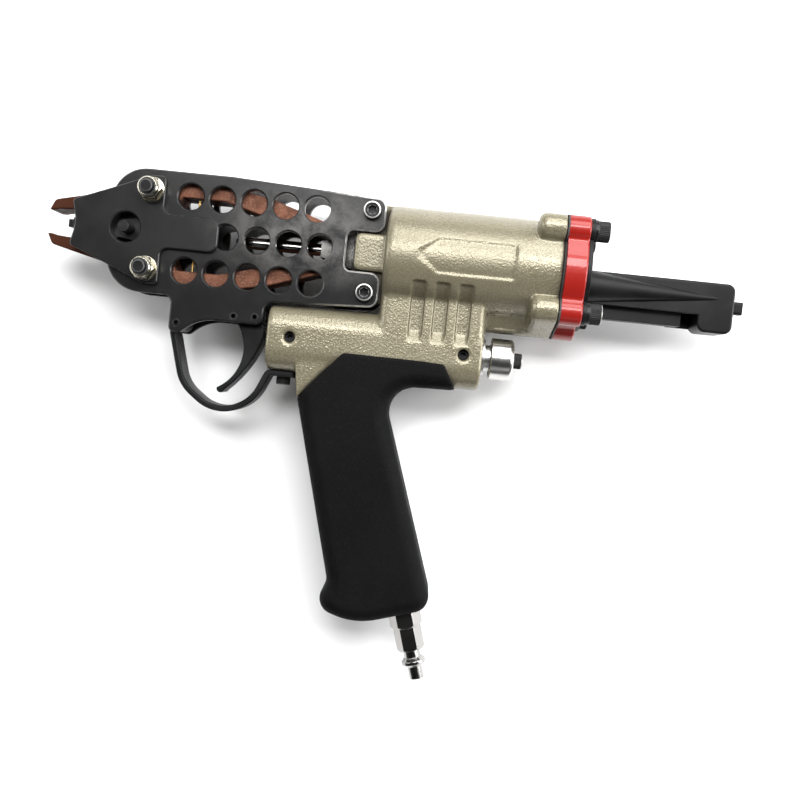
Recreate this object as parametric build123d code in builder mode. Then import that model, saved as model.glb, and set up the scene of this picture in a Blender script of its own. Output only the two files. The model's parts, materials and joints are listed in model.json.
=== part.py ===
from build123d import *
import math
import os

os.makedirs("parts", exist_ok=True)

# Pneumatic hog ring plier, lying on its right side.
# Tool stations: X along the barrel axis with the nose at -X, Y up from the grip, Z out of the left side.

# Fits
seat_gap = 0.05
running_gap = 0.05
slide_gap = 0.3
contact_gap = 0.15
sleeve_gap = 0.1

# Broken edges
screw_edge = 0.5
nut_edge = 0.6
hole_edge = 0.6
jaw_edge = 0.5
trigger_edge = 0.8
guard_edge = 0.6
tail_edge = 1.2
housing_edge = 1.5
web_edge = 4.0

# Barrel and cylinder
barrel_r = 25.3
barrel_front_x = -24.8
barrel_rear_x = 60.0
barrel_edge = 3.0
liner_r = 22.0
liner_wall = 1.5
cylinder_front_x = -9.0

# Rear cap, its lobes and screws
cap_r = 28.0
cap_thickness = 10.2
cap_edge = 1.0
gasket_thickness = 0.8
lobe_r = 6.7
lobe_reach = 19.6
lobe_blend = 3.0
boss_length = 13.5
boss_round = 3.6
cap_screw_r = 3.0
cap_screw_depth = 12.0
cap_screw_head_r = 5.0
cap_screw_head = 6.0
cap_screw_hex = 5.0
cap_pocket = 4.0
washer_r = 5.4
washer_thickness = 1.5
washer_split = 1.0

# Air channel under the barrel
channel_y = -24.0
channel_r = 8.4
channel_x = 25.0
passage_r = 3.0
passage_y = -27.6

# Side plates
plate_gap = 18.0
plate_thickness = 4.0
plate_edge = 0.8
plate_top_y = 29.7
plate_low_y = -30.4
plate_bottom_y = -29.4
plate_front_x = -160.6
plate_nose_r = 17.0
plate_bend_x = -102.0
plate_bend_r = 60.0
plate_rear_top_y = 26.1
plate_rear_low_y = -26.5
plate_rear_x = -26.3
plate_corner_r = 5.0
notch_x = -44.0
notch_half = 9.8
notch_r = 3.0
notch_gap = 0.6
notch_pad_drop = 0.4
foot_front_x = -127.0
foot_rear_x = -81.0
foot_tip_y = -48.2
foot_bottom_y = -40.6
foot_heel_x = -113.0
foot_toe_x = -121.5
foot_r = 4.0
foot_toe_r = 3.0
foot_arch_r = 22.0
hole_r = 6.3
hole_pitch = 15.5
hole_row_y = 18.0
hole_row_x = -121.8
hole_row_count = 5
middle_row_x = -103.3
middle_row_count = 4

# Nose plates
nose_thickness = 2.5
nose_edge = 0.5
nose_front_x = -178.5
nose_front_y = 11.0
nose_mouth = 2.5
nose_mouth_r = 20.0
nose_point_r = 2.0
nose_shoulder_x = -160.0
nose_shoulder_y = 18.3
nose_lug_x = -141.0
nose_lug_y = 26.3
nose_back_x = -133.8
nose_lug_r = 4.0
tongue_x = -106.4
tongue_half = 8.2
tongue_r = 4.5
nose_hole_x = -151.7
nose_hole_r = 7.3
nose_pin_r = 2.7
nose_pin_show = 5.5
guide_tooth_x = -181.8
guide_tooth_half = 1.9
guide_front_x = -178.0
guide_front_half = 2.4
guide_waist_x = -150.0
guide_half = 5.2
guide_rear_x = -134.0

# Jaw pivots
pivot_x = -140.0
pivot_y = 19.1
pivot_bolt_r = 3.0
pivot_head_r = 5.0
pivot_head = 6.0
pivot_hex = 5.0
nut_washer_r = 6.0
nut_washer = 1.4
nut_across = 10.0
nut_hex = 5.2
nut_collar_r = 4.9
nut_insert_r = 4.1
nut_insert_drop = 0.5
nut_collar = 2.8
bolt_show = 2.4
sleeve_r = 5.0

# Jaws
jaw_tip_x = -192.0
jaw_tip_r = 0.8
mouth_half = 5.8
throat_half = 7.0
throat_x = -180.5
throat_rear_x = -150.0
pad_rear_x = -189.5
bite_x = -187.5
bite_half = 6.4
jaw_shoulder_x = -189.6
jaw_shoulder_y = 11.0
jaw_shoulder_r = 3.0
jaw_cheek_x = -159.0
jaw_cheek_y = 18.2
jaw_crown_x = -147.0
jaw_crown_r = 6.0
jaw_top_y = 27.0
jaw_arm_y = 26.0
jaw_top_x = -106.0
jaw_bend_x = -83.0
jaw_bend_y = 21.5
arm_inner_y = 18.0
arm_front_x = -127.0
arm_rear_x = -106.0
arm_inner_bend_x = -88.0
arm_inner_bend_y = 13.0
jaw_heel_x = -131.5
jaw_heel_y = 9.5
tail_nose_x = -52.0
tail_nose_r = 3.0
tail_nose_y = 8.6
jaw_close_deg = 5.8

# Ram: piston, rod and wedge
stroke = 30.0
piston_rear_gap = 2.0
piston_length = 18.0
seal_width = 4.0
seal_depth = 3.0
rod_r = 6.0
rod_nose_r = 3.0
rod_nose_x = -100.0
rod_spigot_r = 4.0
piston_nut_across = 13.0
piston_nut_height = 6.0
piston_nut_room_r = 9.0
wedge_lead = 5.0
wedge_tail = 1.6
wedge_half_z = 6.0
wedge_pin_r = 1.5
wedge_pin_inset = 8.0
cavity_room = 0.6
bush_r = 10.0
seal_ring_width = 3.0
seal_ring_r = 9.0
bumper_r = 13.0
bumper_length = 5.0
return_mean_r = 9.3
return_wire_r = 1.1
return_turns = 6

# Front block of the casting
block_front_x = -40.0
block_half_y = 24.0
plate_screw_x = -33.0
plate_screw_y = 19.9
plate_screw_r = 2.5
plate_screw_depth = 6.0
plate_screw_head_r = 4.25
plate_screw_head = 4.0
plate_screw_hex = 4.0

# Bare pointed recess on the barrel
panel_depth = 0.8
panel_tip_x = -8.8
panel_shoulder_x = 1.0
panel_rear_x = 38.0
panel_half = 8.5
panel_y = 0.5
panel_tip_half = 1.5
panel_corner_r = 1.4

# Web with flutes between barrel and valve housing
web_rear_x = 27.0
flute_x = -6.8
flute_pitch = 11.3
flute_count = 3
flute_width = 6.8
flute_floor_z = 13.2
flute_top_y = -12.0
flute_low_y = -36.0
flute_end_y = -41.0
flute_core_r = 23.6

# Valve housing
valve_y = -45.0
housing_front_x = -78.4
housing_rear_x = 27.0
housing_top_y = -29.0
housing_bottom_y = -61.6
housing_half_z = 16.0
housing_r = 11.0
valve_bore_r = 8.0
set_screw_r = 2.7
set_screw_front_x = -67.0
set_screw_rear_x = 17.7
set_screw_recess = 4.0
set_screw_hex = 2.5
set_screw_bite = 1.0

# Valve
bushing_length = 22.0
stem_tip_r = 3.5
stem_land_length = 16.0
stem_land_gap = 3.0
stem_tail_r = 2.6
stem_tail_length = 12.0
o_ring_r = 1.2
o_ring_inset = 4.0
valve_spring_mean_r = 4.2
valve_spring_wire_r = 0.5
valve_spring_turns = 7

# Exhaust
exhaust_plug_x = 6.0
exhaust_collar_r = 9.0
exhaust_collar = 1.4
exhaust_neck_r = 6.5
exhaust_neck = 3.0
exhaust_cup_r = 10.25
exhaust_cup_length = 11.6
exhaust_cup_wall = 1.4
exhaust_cup_edge = 0.5
exhaust_cup_round = 2.4
exhaust_post_r = 5.0
exhaust_screw_r = 2.0
exhaust_screw_head_r = 3.85
exhaust_screw_head = 4.4
exhaust_screw_hex = 3.0
exhaust_screw_depth = 4.5
exhaust_vent_r = 2.5

# Trigger
trigger_pin_x = -85.2
trigger_pin_y = -37.0
trigger_half_z = 7.0
trigger_boss_r = 4.6
trigger_front_x = -95.3
trigger_waist_x = -90.4
trigger_waist_y = -56.5
trigger_tip_x = -101.6
trigger_tip_y = -73.0
trigger_tip_depth = 3.6
trigger_tip_drop = 1.2
trigger_back_x = -86.6
trigger_back_y = -60.0
trigger_pad_x = -81.0
trigger_pad_low_y = -47.5
trigger_pad_top_y = -41.0
stop_pin_x = -95.6
stop_pin_y = -37.6
roll_pin_r = 2.0
roll_pin_bore_r = 1.1

# Trigger guard
guard_pin_x = -123.3
guard_pin_y = -43.6
guard_half_z = 7.0
guard_thickness = 3.0
guard_eye_r = 4.0
guard_shoulder_x = -126.2
guard_shoulder_y = -47.5
guard_front_x = -119.2
guard_front_y = -73.0
guard_bottom_x = -101.0
guard_bottom_y = -86.5
guard_rise_x = -83.5
guard_rise_y = -78.0
guard_tab_front_x = -77.0
guard_tab_rear_x = -64.0
guard_bend_r = 2.0
guard_curve_r = 19.0
guard_screw_x = -70.0
guard_screw_r = 2.0
guard_screw_depth = 8.0
guard_screw_head_r = 3.5
guard_screw_head = 4.2
guard_screw_hex = 3.0

# Grip
grip_half_z = 18.0
grip_round = 7.5
grip_front_top = (-60.8, -74.2)
grip_front_low = (-37.0, -162.5)
grip_lip = (-43.6, -174.6)
grip_base = (-22.0, -182.0)
grip_heel = (15.6, -170.3)
grip_web = (-20.9, -63.6)
grip_wing_tip = (15.7, -62.6)
grip_wing_top = (8.9, -50.2)
grip_shoulder = (-40.0, -49.7)
grip_waist_r = 9.0
grip_lip_r = 8.0
grip_base_r = 36.0
grip_heel_r = 8.0
grip_web_r = 13.0
grip_wall = 5.0
core_half_z = 12.5
core_top_y = -56.0
core_bottom_y = -166.0
neck_half_z = 15.0
neck_front_x = -63.6
neck_top_y = -55.0

# Air inlet
inlet_lean_deg = 17.0
inlet_x = 2.5
inlet_y = -177.1
inlet_bush_r = 4.4
inlet_bush_show = 5.8
inlet_bush_hex = 14.0
inlet_bush_seat = -2.4
inlet_bush_depth = 20.0
inlet_bore_r = 3.5
plug_hex = 12.0
plug_hex_end = 17.7
plug_neck_r = 4.2
plug_neck_end = 21.6
plug_ring_r = 6.0
plug_ring_end = 26.0
plug_tip_r = 3.6
plug_end = 32.4
plug_bore_r = 2.2
plug_thread_r = 3.4
plug_thread_length = 9.0

# Magazine tail
flange_thickness = 2.0
flange_inset = 0.8
tail_length = 73.0
tail_half_z = 9.5
tail_wall = 2.5
tail_roof = 2.7
tail_top_y = 2.5
tail_skirt_y = -13.5
tail_block_length = 17.0
tail_block_y = -22.0
tail_block_r = 4.0
tail_corner_r = 4.0
bulge_r = 8.0
bulge_end_r = 0.6
bulge_y = -5.2
bulge_inset = 0.8
bulge_length = 67.0
cheek_length = 11.0
rail_length = 49.0
rail_half_z = 4.5
rail_top_y = -13.0
rail_bottom_y = -20.0

# Ring pusher
pusher_gap = 6.0
pusher_length = 12.0
pusher_low_y = -12.4
pull_rod_r = 2.0
pull_rod_y = -8.2
pull_tab_length = 6.0
pull_tab_half_y = 3.2
pull_tab_half_z = 3.0
pull_tab_round = 1.2
pusher_spring_mean_r = 3.4
pusher_spring_wire_r = 0.5
pusher_spring_turns = 12

# Jaw return springs
jaw_spring_x = -121.0
jaw_spring_z = 6.0
jaw_spring_mean_r = 1.9
jaw_spring_wire_r = 0.55
jaw_spring_half = 9.0
jaw_spring_turns = 8
jaw_spring_bend_r = 1.2
jaw_spring_seat = 3.0
jaw_spring_hole_r = 1.0
jaw_spring_hole_depth = 4.0

# Stations worked out from the sizes above
half_gap = plate_gap / 2
plate_out = half_gap + plate_thickness
nose_out = plate_out + nose_thickness
liner_bore_r = liner_r - liner_wall
cap_front_x = barrel_rear_x + gasket_thickness
cap_rear_x = cap_front_x + cap_thickness
flange_rear_x = cap_rear_x + flange_thickness
tail_end_x = flange_rear_x + tail_length
tail_block_x = tail_end_x - tail_block_length
pull_tab_end_x = tail_end_x + pull_tab_length
piston_rear_x = barrel_rear_x - piston_rear_gap
piston_front_x = piston_rear_x - piston_length
inlet_lean = math.radians(inlet_lean_deg)
jaw_close = math.radians(jaw_close_deg)
jaw_half_z = half_gap - slide_gap
lobe_places = [(y, z) for y in (-lobe_reach, lobe_reach) for z in (-lobe_reach, lobe_reach)]

# The origin is the centre of the bounding box's underside
plug_low_y = inlet_y - plug_end * math.cos(inlet_lean) - plug_tip_r * math.sin(inlet_lean)
tool_x = -(jaw_tip_x + pull_tab_end_x) / 2
tool_y = -(plate_top_y + plug_low_y) / 2
tool_z = cap_r

# Upper edge line of the grip, met by the neck
neck_share = (neck_top_y - grip_front_top[1]) / (grip_shoulder[1] - grip_front_top[1])
neck_rear_x = grip_front_top[0] + neck_share * (grip_shoulder[0] - grip_front_top[0])

# Wedge slope that turns the jaws in step with the stroke
tail_arm_x = tail_nose_x - pivot_x
tail_arm_y = tail_nose_y - pivot_y
tail_rise = tail_arm_x * math.sin(jaw_close) + tail_arm_y * (math.cos(jaw_close) - 1)
tail_shift = tail_arm_x * (math.cos(jaw_close) - 1) - tail_arm_y * math.sin(jaw_close)
wedge_slope = tail_rise / (stroke + tail_shift)
wedge_front_x = tail_nose_x - wedge_lead
wedge_clear = (tail_nose_r + contact_gap) * math.hypot(1, wedge_slope)
wedge_front_half = tail_nose_y - wedge_slope * wedge_lead - wedge_clear
wedge_length = wedge_lead + stroke + tail_shift + wedge_tail
wedge_rear_x = wedge_front_x + wedge_length
wedge_rear_half = wedge_front_half + wedge_slope * wedge_length
cavity_rear_x = wedge_rear_x + cavity_room
cavity_half_y = wedge_rear_half + cavity_room
cavity_half_z = wedge_half_z + cavity_room

base = (Align.CENTER, Align.CENTER, Align.MIN)
low = (Align.MIN, Align.MIN, Align.MIN)


def cross(x=0.0, y=0.0, z=0.0):
    # plane across the barrel, facing the tail
    return Plane((tool_x + x, tool_y + y, tool_z + z), x_dir=(0, 1, 0), z_dir=(1, 0, 0))


def side(z=0.0, x=0.0, y=0.0):
    # plane along the tool, facing its left side
    return Plane((tool_x + x, tool_y + y, tool_z + z), x_dir=(1, 0, 0), z_dir=(0, 0, 1))


def upward(y=0.0, x=0.0, z=0.0):
    # plane facing the top of the tool
    return Plane((tool_x + x, tool_y + y, tool_z + z), x_dir=(1, 0, 0), z_dir=(0, 1, 0))


def side_back(z=0.0, x=0.0, y=0.0):
    # plane along the tool, facing its right side
    return Plane((tool_x + x, tool_y + y, tool_z - z), x_dir=(1, 0, 0), z_dir=(0, 0, -1))


def downward(y=0.0, x=0.0, z=0.0):
    # plane facing the foot of the grip
    return Plane((tool_x + x, tool_y + y, tool_z + z), x_dir=(1, 0, 0), z_dir=(0, -1, 0))


def down_grip(s=0.0):
    # plane across the air inlet, facing out of the grip
    lean_x = math.sin(inlet_lean)
    lean_y = -math.cos(inlet_lean)
    spot = (tool_x + inlet_x + s * lean_x, tool_y + inlet_y + s * lean_y, tool_z)
    return Plane(spot, x_dir=(-lean_y, lean_x, 0), z_dir=(lean_x, lean_y, 0))


def post(plane, r, height, mode=Mode.ADD):
    # round post that stands on a plane
    with Locations(plane):
        Cylinder(r, height, align=base, mode=mode)


def taper(plane, low_r, high_r, height, mode=Mode.ADD):
    # cone that stands on a plane
    with Locations(plane):
        Cone(low_r, high_r, height, align=base, mode=mode)


def bar(x0, x1, r, y=0.0, z=0.0, mode=Mode.ADD):
    # round bar along the barrel
    post(cross(x0, y, z), r, x1 - x0, mode)


def block(x0, x1, y0, y1, z0, z1, mode=Mode.ADD):
    # straight block between two corners
    with Locations(side(z0, x0, y0)):
        Box(x1 - x0, y1 - y0, z1 - z0, align=low, mode=mode)


def hexagon(plane, across, height, mode=Mode.ADD):
    # hexagonal post that stands on a plane
    with BuildSketch(plane, mode=Mode.PRIVATE) as flats:
        RegularPolygon(across / 2, 6, major_radius=False)
    extrude(flats.sketch, amount=height, mode=mode)


def turned_hexagon(plane, across, height):
    # hexagonal post whose corners are turned off at its outer end
    hexagon(plane, across, height)
    taper(plane, across / 2 + height, across / 2, height, Mode.INTERSECT)


def socket_screw(plane, r, length, head_r, head, across):
    # cap screw whose head stands on a plane
    post(plane.offset(-length), r, length)
    post(plane, head_r, head - screw_edge)
    taper(plane.offset(head - screw_edge), head_r, head_r - screw_edge, screw_edge)
    hexagon(plane.offset(head / 2), across, head / 2, Mode.SUBTRACT)


def rimmed_hole(plane, r, depth):
    # through hole with a bevelled outer rim
    post(plane, r, depth, Mode.SUBTRACT)
    taper(plane.offset(depth - hole_edge), r, r + hole_edge, hole_edge, Mode.SUBTRACT)


def roll_pin(x, y):
    # hollow pin through both side plates
    post(side(-plate_out, x, y), roll_pin_r, 2 * plate_out)
    post(side(-plate_out, x, y), roll_pin_bore_r, 2 * plate_out, Mode.SUBTRACT)


def low_lobe():
    # lobe that spans the two lower screws and the air channel
    with BuildSketch(mode=Mode.PRIVATE) as span:
        with Locations(*[(y, z) for y, z in lobe_places if y < 0]):
            Circle(lobe_r)
        with Locations((channel_y, 0)):
            Circle(channel_r)
        make_hull(span.edges())
    add(span.sketch)


def curl_point(plane, mean_r, pitch, turn):
    # point and direction on a spring's centre line after a number of turns
    angle = 2 * math.pi * turn
    out = plane.x_dir * math.cos(angle) + plane.y_dir * math.sin(angle)
    along = plane.y_dir * math.cos(angle) - plane.x_dir * math.sin(angle)
    spot = plane.origin + out * mean_r + plane.z_dir * (pitch * turn)
    return spot, (along * (2 * math.pi * mean_r) + plane.z_dir * pitch).normalized()


def curls(plane, mean_r, length, turns):
    # centre line of a spring: two tangent arcs to each quarter turn
    pitch = length / turns
    for step in range(4 * turns):
        start, start_dir = curl_point(plane, mean_r, pitch, step / 4)
        end, end_dir = curl_point(plane, mean_r, pitch, (step + 1) / 4)
        chord = end - start
        lean = chord.dot(start_dir + end_dir)
        spread = 2 * (1 - start_dir.dot(end_dir))
        reach = (math.sqrt(lean * lean + spread * chord.dot(chord)) - lean) / spread
        start_knee = start + start_dir * reach
        end_knee = end - end_dir * reach
        middle = (start_knee + end_knee) * 0.5
        TangentArc(start, middle, tangent=start_dir)
        TangentArc(middle, end, tangent=end_knee - start_knee)


def least_gap(line, wire_r, turns):
    # smallest clear distance between neighbouring turns, measured on points
    count = 24 * turns
    points = [line.position_at(i / count) for i in range(count + 1)]
    pairs = [(a, b) for a in range(count + 1) for b in range(a + 12, count + 1)]
    return min((points[a] - points[b]).length for a, b in pairs) - 2 * wire_r


def across_start(line):
    # plane square to the start of a centre line
    return Plane(line @ 0, z_dir=line % 0)


# Body casting

with BuildPart() as panel_recess:
    with BuildSketch(side()):
        with BuildLine():
            FilletPolyline(
                (panel_tip_x, panel_y + panel_tip_half),
                (panel_shoulder_x, panel_y + panel_half),
                (panel_rear_x, panel_y + panel_half),
                (panel_rear_x, panel_y - panel_half),
                (panel_shoulder_x, panel_y - panel_half),
                (panel_tip_x, panel_y - panel_tip_half),
                radius=panel_corner_r,
                close=True,
            )
        make_face()
    extrude(amount=barrel_r + panel_depth)
    bar(panel_tip_x - panel_half, panel_rear_x + panel_half, barrel_r - panel_depth, mode=Mode.SUBTRACT)


def grip_front_x(y):
    # front edge line of the grip
    slope = (grip_front_low[0] - grip_front_top[0]) / (grip_front_top[1] - grip_front_low[1])
    return grip_front_top[0] + slope * (grip_front_top[1] - y)


def grip_rear_x(y):
    # rear edge line of the grip
    slope = (grip_heel[0] - grip_web[0]) / (grip_web[1] - grip_heel[1])
    return grip_web[0] + slope * (grip_web[1] - y)


def core_outline(spare=0.0):
    # grip core, grown by a spare width on each side
    Polygon(
        (grip_front_x(core_top_y) + grip_wall - spare, core_top_y),
        (grip_front_x(core_bottom_y) + grip_wall - spare, core_bottom_y - spare),
        (grip_rear_x(core_bottom_y) - grip_wall + spare, core_bottom_y - spare),
        (grip_rear_x(core_top_y) - grip_wall + spare, core_top_y),
        align=None,
    )


def housing_outline(spare=0.0):
    # valve housing across the barrel, grown by a spare width on each side
    with Locations(((housing_top_y + housing_bottom_y) / 2, 0)):
        RectangleRounded(
            housing_top_y - housing_bottom_y + 2 * spare,
            2 * (housing_half_z + spare),
            housing_r + spare,
        )


with BuildPart() as valve_housing:
    with BuildSketch(cross(housing_front_x)):
        housing_outline()
    extrude(amount=housing_rear_x - housing_front_x)
    housing_ends = valve_housing.faces().sort_by(Axis.X)
    fillet(housing_ends[0].edges() + housing_ends[-1].edges(), housing_edge)

with BuildPart() as housing_web:
    block(barrel_front_x, web_rear_x, valve_y, 0, -housing_half_z, housing_half_z)
    fillet(housing_web.edges().filter_by(Axis.Y), web_edge)

with BuildPart() as rear_bosses:
    for y, z in lobe_places:
        bar(barrel_rear_x - boss_length, barrel_rear_x, lobe_r, y, z)
    with BuildSketch(cross(barrel_rear_x - boss_length)):
        low_lobe()
    extrude(amount=boss_length)
    fillet(rear_bosses.edges().group_by(Axis.X)[0], boss_round)

with BuildPart() as body_casting:
    bar(barrel_front_x, barrel_rear_x, barrel_r)
    fillet(body_casting.edges().filter_by(GeomType.CIRCLE).sort_by(Axis.X)[0], barrel_edge)
    block(block_front_x, cavity_rear_x, -block_half_y, block_half_y, -half_gap, half_gap)

    # pads that fill the notches of the side plates
    for hand in (-1, 1):
        with BuildSketch(side(hand * half_gap)):
            with BuildLine():
                FilletPolyline(
                    (barrel_front_x + barrel_edge, notch_half - notch_gap),
                    (block_front_x, notch_half - notch_gap),
                    (block_front_x, notch_gap - notch_half),
                    (barrel_front_x + barrel_edge, notch_gap - notch_half),
                    radius=[0, notch_r, notch_r, 0],
                    close=True,
                )
            make_face()
        extrude(amount=hand * (plate_thickness - notch_pad_drop))
    add(rear_bosses.part)
    bar(channel_x, barrel_rear_x, channel_r, channel_y)
    add(housing_web.part)
    add(valve_housing.part)
    with BuildSketch(side(-core_half_z)):
        core_outline()
    extrude(amount=2 * core_half_z)
    with BuildSketch(side(-neck_half_z)):
        Polygon(
            (neck_front_x, neck_top_y),
            (grip_front_top[0], grip_front_top[1] + sleeve_gap),
            (neck_rear_x - sleeve_gap, neck_top_y),
            align=None,
        )
    extrude(amount=2 * neck_half_z)

    # flutes on both sides of the web
    for hand in (-1, 1):
        for number in range(flute_count):
            flute_front_x = flute_x + number * flute_pitch - flute_width / 2
            with BuildSketch(cross(flute_front_x)):
                Polygon(
                    (flute_top_y, hand * flute_floor_z),
                    (flute_low_y, hand * flute_floor_z),
                    (flute_end_y, hand * housing_half_z),
                    (flute_end_y, hand * barrel_r),
                    (flute_top_y, hand * barrel_r),
                    align=None,
                )
            extrude(amount=flute_width, mode=Mode.SUBTRACT)
    bar(barrel_front_x + barrel_edge, barrel_rear_x, flute_core_r)
    add(panel_recess.part, mode=Mode.SUBTRACT)

    # wedge room, rod bush seat, cylinder and its air passage
    block(
        block_front_x, cavity_rear_x, -cavity_half_y, cavity_half_y,
        -cavity_half_z, cavity_half_z, Mode.SUBTRACT,
    )
    bar(cavity_rear_x, cylinder_front_x, bush_r + seat_gap, mode=Mode.SUBTRACT)
    bar(cylinder_front_x, barrel_rear_x, liner_r + seat_gap, mode=Mode.SUBTRACT)
    bar(exhaust_plug_x - 2 * passage_r, barrel_rear_x, passage_r, passage_y, mode=Mode.SUBTRACT)
    post(upward(valve_y, exhaust_plug_x - 2 * passage_r), passage_r, passage_y - valve_y, Mode.SUBTRACT)

    # screw holes
    for y, z in lobe_places:
        bar(barrel_rear_x - cap_screw_depth, barrel_rear_x, cap_screw_r + seat_gap, y, z, Mode.SUBTRACT)
    for y in (-plate_screw_y, plate_screw_y):
        for z in (-half_gap, half_gap - plate_screw_depth):
            post(side(z, plate_screw_x, y), plate_screw_r + seat_gap, plate_screw_depth, Mode.SUBTRACT)
    guard_hole = upward(housing_bottom_y, guard_screw_x)
    post(guard_hole, guard_screw_r + seat_gap, guard_screw_depth, Mode.SUBTRACT)

    # valve bore, set screw holes and air inlet
    bar(housing_front_x, housing_rear_x, valve_bore_r + seat_gap, valve_y, mode=Mode.SUBTRACT)
    for x in (set_screw_front_x, set_screw_rear_x):
        post(side(0, x, valve_y), set_screw_r + seat_gap, housing_half_z, Mode.SUBTRACT)
    inlet_rise = (inlet_y - valve_y) / math.cos(inlet_lean)
    post(down_grip(inlet_rise), inlet_bore_r, -inlet_rise, Mode.SUBTRACT)
    post(down_grip(-inlet_bush_depth), inlet_bush_r + seat_gap, inlet_bush_depth, Mode.SUBTRACT)
body_casting.part.label = "body_casting"
export_step(body_casting.part, "parts/body_casting.step")

# Side plates

with BuildPart() as left_side_plate:
    with BuildSketch(side(half_gap)):
        with BuildLine():
            FilletPolyline(
                (plate_rear_x, plate_rear_top_y),
                (plate_bend_x, plate_top_y),
                (plate_front_x, plate_top_y),
                (plate_front_x, plate_low_y),
                (foot_front_x, plate_low_y),
                (foot_front_x, foot_tip_y),
                (foot_toe_x, foot_tip_y),
                (foot_heel_x, foot_bottom_y),
                (foot_rear_x, foot_bottom_y),
                (foot_rear_x, plate_bottom_y),
                (plate_rear_x, plate_rear_low_y),
                (plate_rear_x, -notch_half),
                (notch_x, -notch_half),
                (notch_x, notch_half),
                (plate_rear_x, notch_half),
                radius=[
                    plate_corner_r, plate_bend_r, plate_nose_r, plate_nose_r, foot_r, foot_toe_r, foot_toe_r,
                    foot_arch_r, foot_r, foot_r, plate_corner_r, plate_corner_r, notch_r, notch_r,
                    plate_corner_r,
                ],
                close=True,
            )
        make_face()
    extrude(amount=plate_thickness)
    chamfer(left_side_plate.faces().sort_by(Axis.Z)[-1].outer_wire().edges(), plate_edge)
    for number in range(hole_row_count):
        for y in (-hole_row_y, hole_row_y):
            spot = side(half_gap, hole_row_x + number * hole_pitch, y)
            rimmed_hole(spot, hole_r, plate_thickness)
    for number in range(middle_row_count):
        spot = side(half_gap, middle_row_x + number * hole_pitch)
        rimmed_hole(spot, hole_r, plate_thickness)
    for y in (-1, 1):
        pivot_hole = side(half_gap, pivot_x, y * pivot_y)
        post(pivot_hole, pivot_bolt_r + seat_gap, plate_thickness, Mode.SUBTRACT)
        screw_hole = side(half_gap, plate_screw_x, y * plate_screw_y)
        post(screw_hole, plate_screw_r + seat_gap, plate_thickness, Mode.SUBTRACT)
    for x, y in ((guard_pin_x, guard_pin_y), (stop_pin_x, stop_pin_y), (trigger_pin_x, trigger_pin_y)):
        post(side(half_gap, x, y), roll_pin_r + seat_gap, plate_thickness, Mode.SUBTRACT)
    post(side(half_gap, nose_hole_x), nose_hole_r, plate_thickness, Mode.SUBTRACT)
left_side_plate.part.label = "left_side_plate"
export_step(left_side_plate.part, "parts/left_side_plate.step")

with BuildPart() as right_side_plate:
    mirror(left_side_plate.part, about=side())
right_side_plate.part.label = "right_side_plate"
export_step(right_side_plate.part, "parts/right_side_plate.step")

# Nose plates

with BuildPart() as left_nose_plate:
    with BuildSketch(side(plate_out)):
        with BuildLine():
            FilletPolyline(
                (nose_front_x + nose_mouth, 0),
                (nose_front_x, nose_front_y),
                (nose_shoulder_x, nose_shoulder_y),
                (nose_lug_x, nose_lug_y),
                (nose_back_x, nose_lug_y),
                (nose_back_x, tongue_half),
                (tongue_x, tongue_half),
                (tongue_x, -tongue_half),
                (nose_back_x, -tongue_half),
                (nose_back_x, -nose_lug_y),
                (nose_lug_x, -nose_lug_y),
                (nose_shoulder_x, -nose_shoulder_y),
                (nose_front_x, -nose_front_y),
                radius=[
                    nose_mouth_r, nose_point_r, nose_lug_r, nose_lug_r, nose_point_r, nose_lug_r, tongue_r,
                    tongue_r, nose_lug_r, nose_point_r, nose_lug_r, nose_lug_r, nose_point_r,
                ],
                close=True,
            )
        make_face()
    extrude(amount=nose_thickness)
    chamfer(left_nose_plate.faces().sort_by(Axis.Z)[-1].outer_wire().edges(), nose_edge)
    for y in (-pivot_y, pivot_y):
        post(side(plate_out, pivot_x, y), pivot_bolt_r + seat_gap, nose_thickness, Mode.SUBTRACT)
    rimmed_hole(side(plate_out, nose_hole_x), nose_hole_r, nose_thickness)
left_nose_plate.part.label = "left_nose_plate"
export_step(left_nose_plate.part, "parts/left_nose_plate.step")

with BuildPart() as right_nose_plate:
    mirror(left_nose_plate.part, about=side())
right_nose_plate.part.label = "right_nose_plate"
export_step(right_nose_plate.part, "parts/right_nose_plate.step")

# Jaw pivots and plate screws

with BuildPart() as jaw_pivot_bolts:
    for y in (-pivot_y, pivot_y):
        head_seat = side_back(nose_out, pivot_x, y)
        bolt_length = 2 * nose_out + nut_washer + nut_hex + nut_collar + bolt_show
        socket_screw(head_seat, pivot_bolt_r, bolt_length, pivot_head_r, pivot_head, pivot_hex)
jaw_pivot_bolts.part.label = "jaw_pivot_bolts"
export_step(jaw_pivot_bolts.part, "parts/jaw_pivot_bolts.step")

with BuildPart() as pivot_washers:
    for y in (-pivot_y, pivot_y):
        post(side(nose_out, pivot_x, y), nut_washer_r, nut_washer)
        post(side(nose_out, pivot_x, y), pivot_bolt_r + seat_gap, nut_washer, Mode.SUBTRACT)
pivot_washers.part.label = "pivot_washers"
export_step(pivot_washers.part, "parts/pivot_washers.step")

with BuildPart() as locking_nut:
    nut_seat = side(nose_out + nut_washer, pivot_x, pivot_y)
    turned_hexagon(nut_seat, nut_across, nut_hex)
    post(nut_seat.offset(nut_hex), nut_collar_r, nut_collar - nut_edge)
    nut_rim = nut_seat.offset(nut_hex + nut_collar - nut_edge)
    taper(nut_rim, nut_collar_r, nut_collar_r - nut_edge, nut_edge)
    post(nut_seat, pivot_bolt_r + seat_gap, nut_hex + nut_collar, Mode.SUBTRACT)
    post(nut_seat.offset(nut_hex), nut_insert_r + seat_gap, nut_collar, Mode.SUBTRACT)

with BuildPart() as jaw_pivot_nuts:
    add(locking_nut.part)
    mirror(locking_nut.part, about=upward())
jaw_pivot_nuts.part.label = "jaw_pivot_nuts"
export_step(jaw_pivot_nuts.part, "parts/jaw_pivot_nuts.step")

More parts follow.
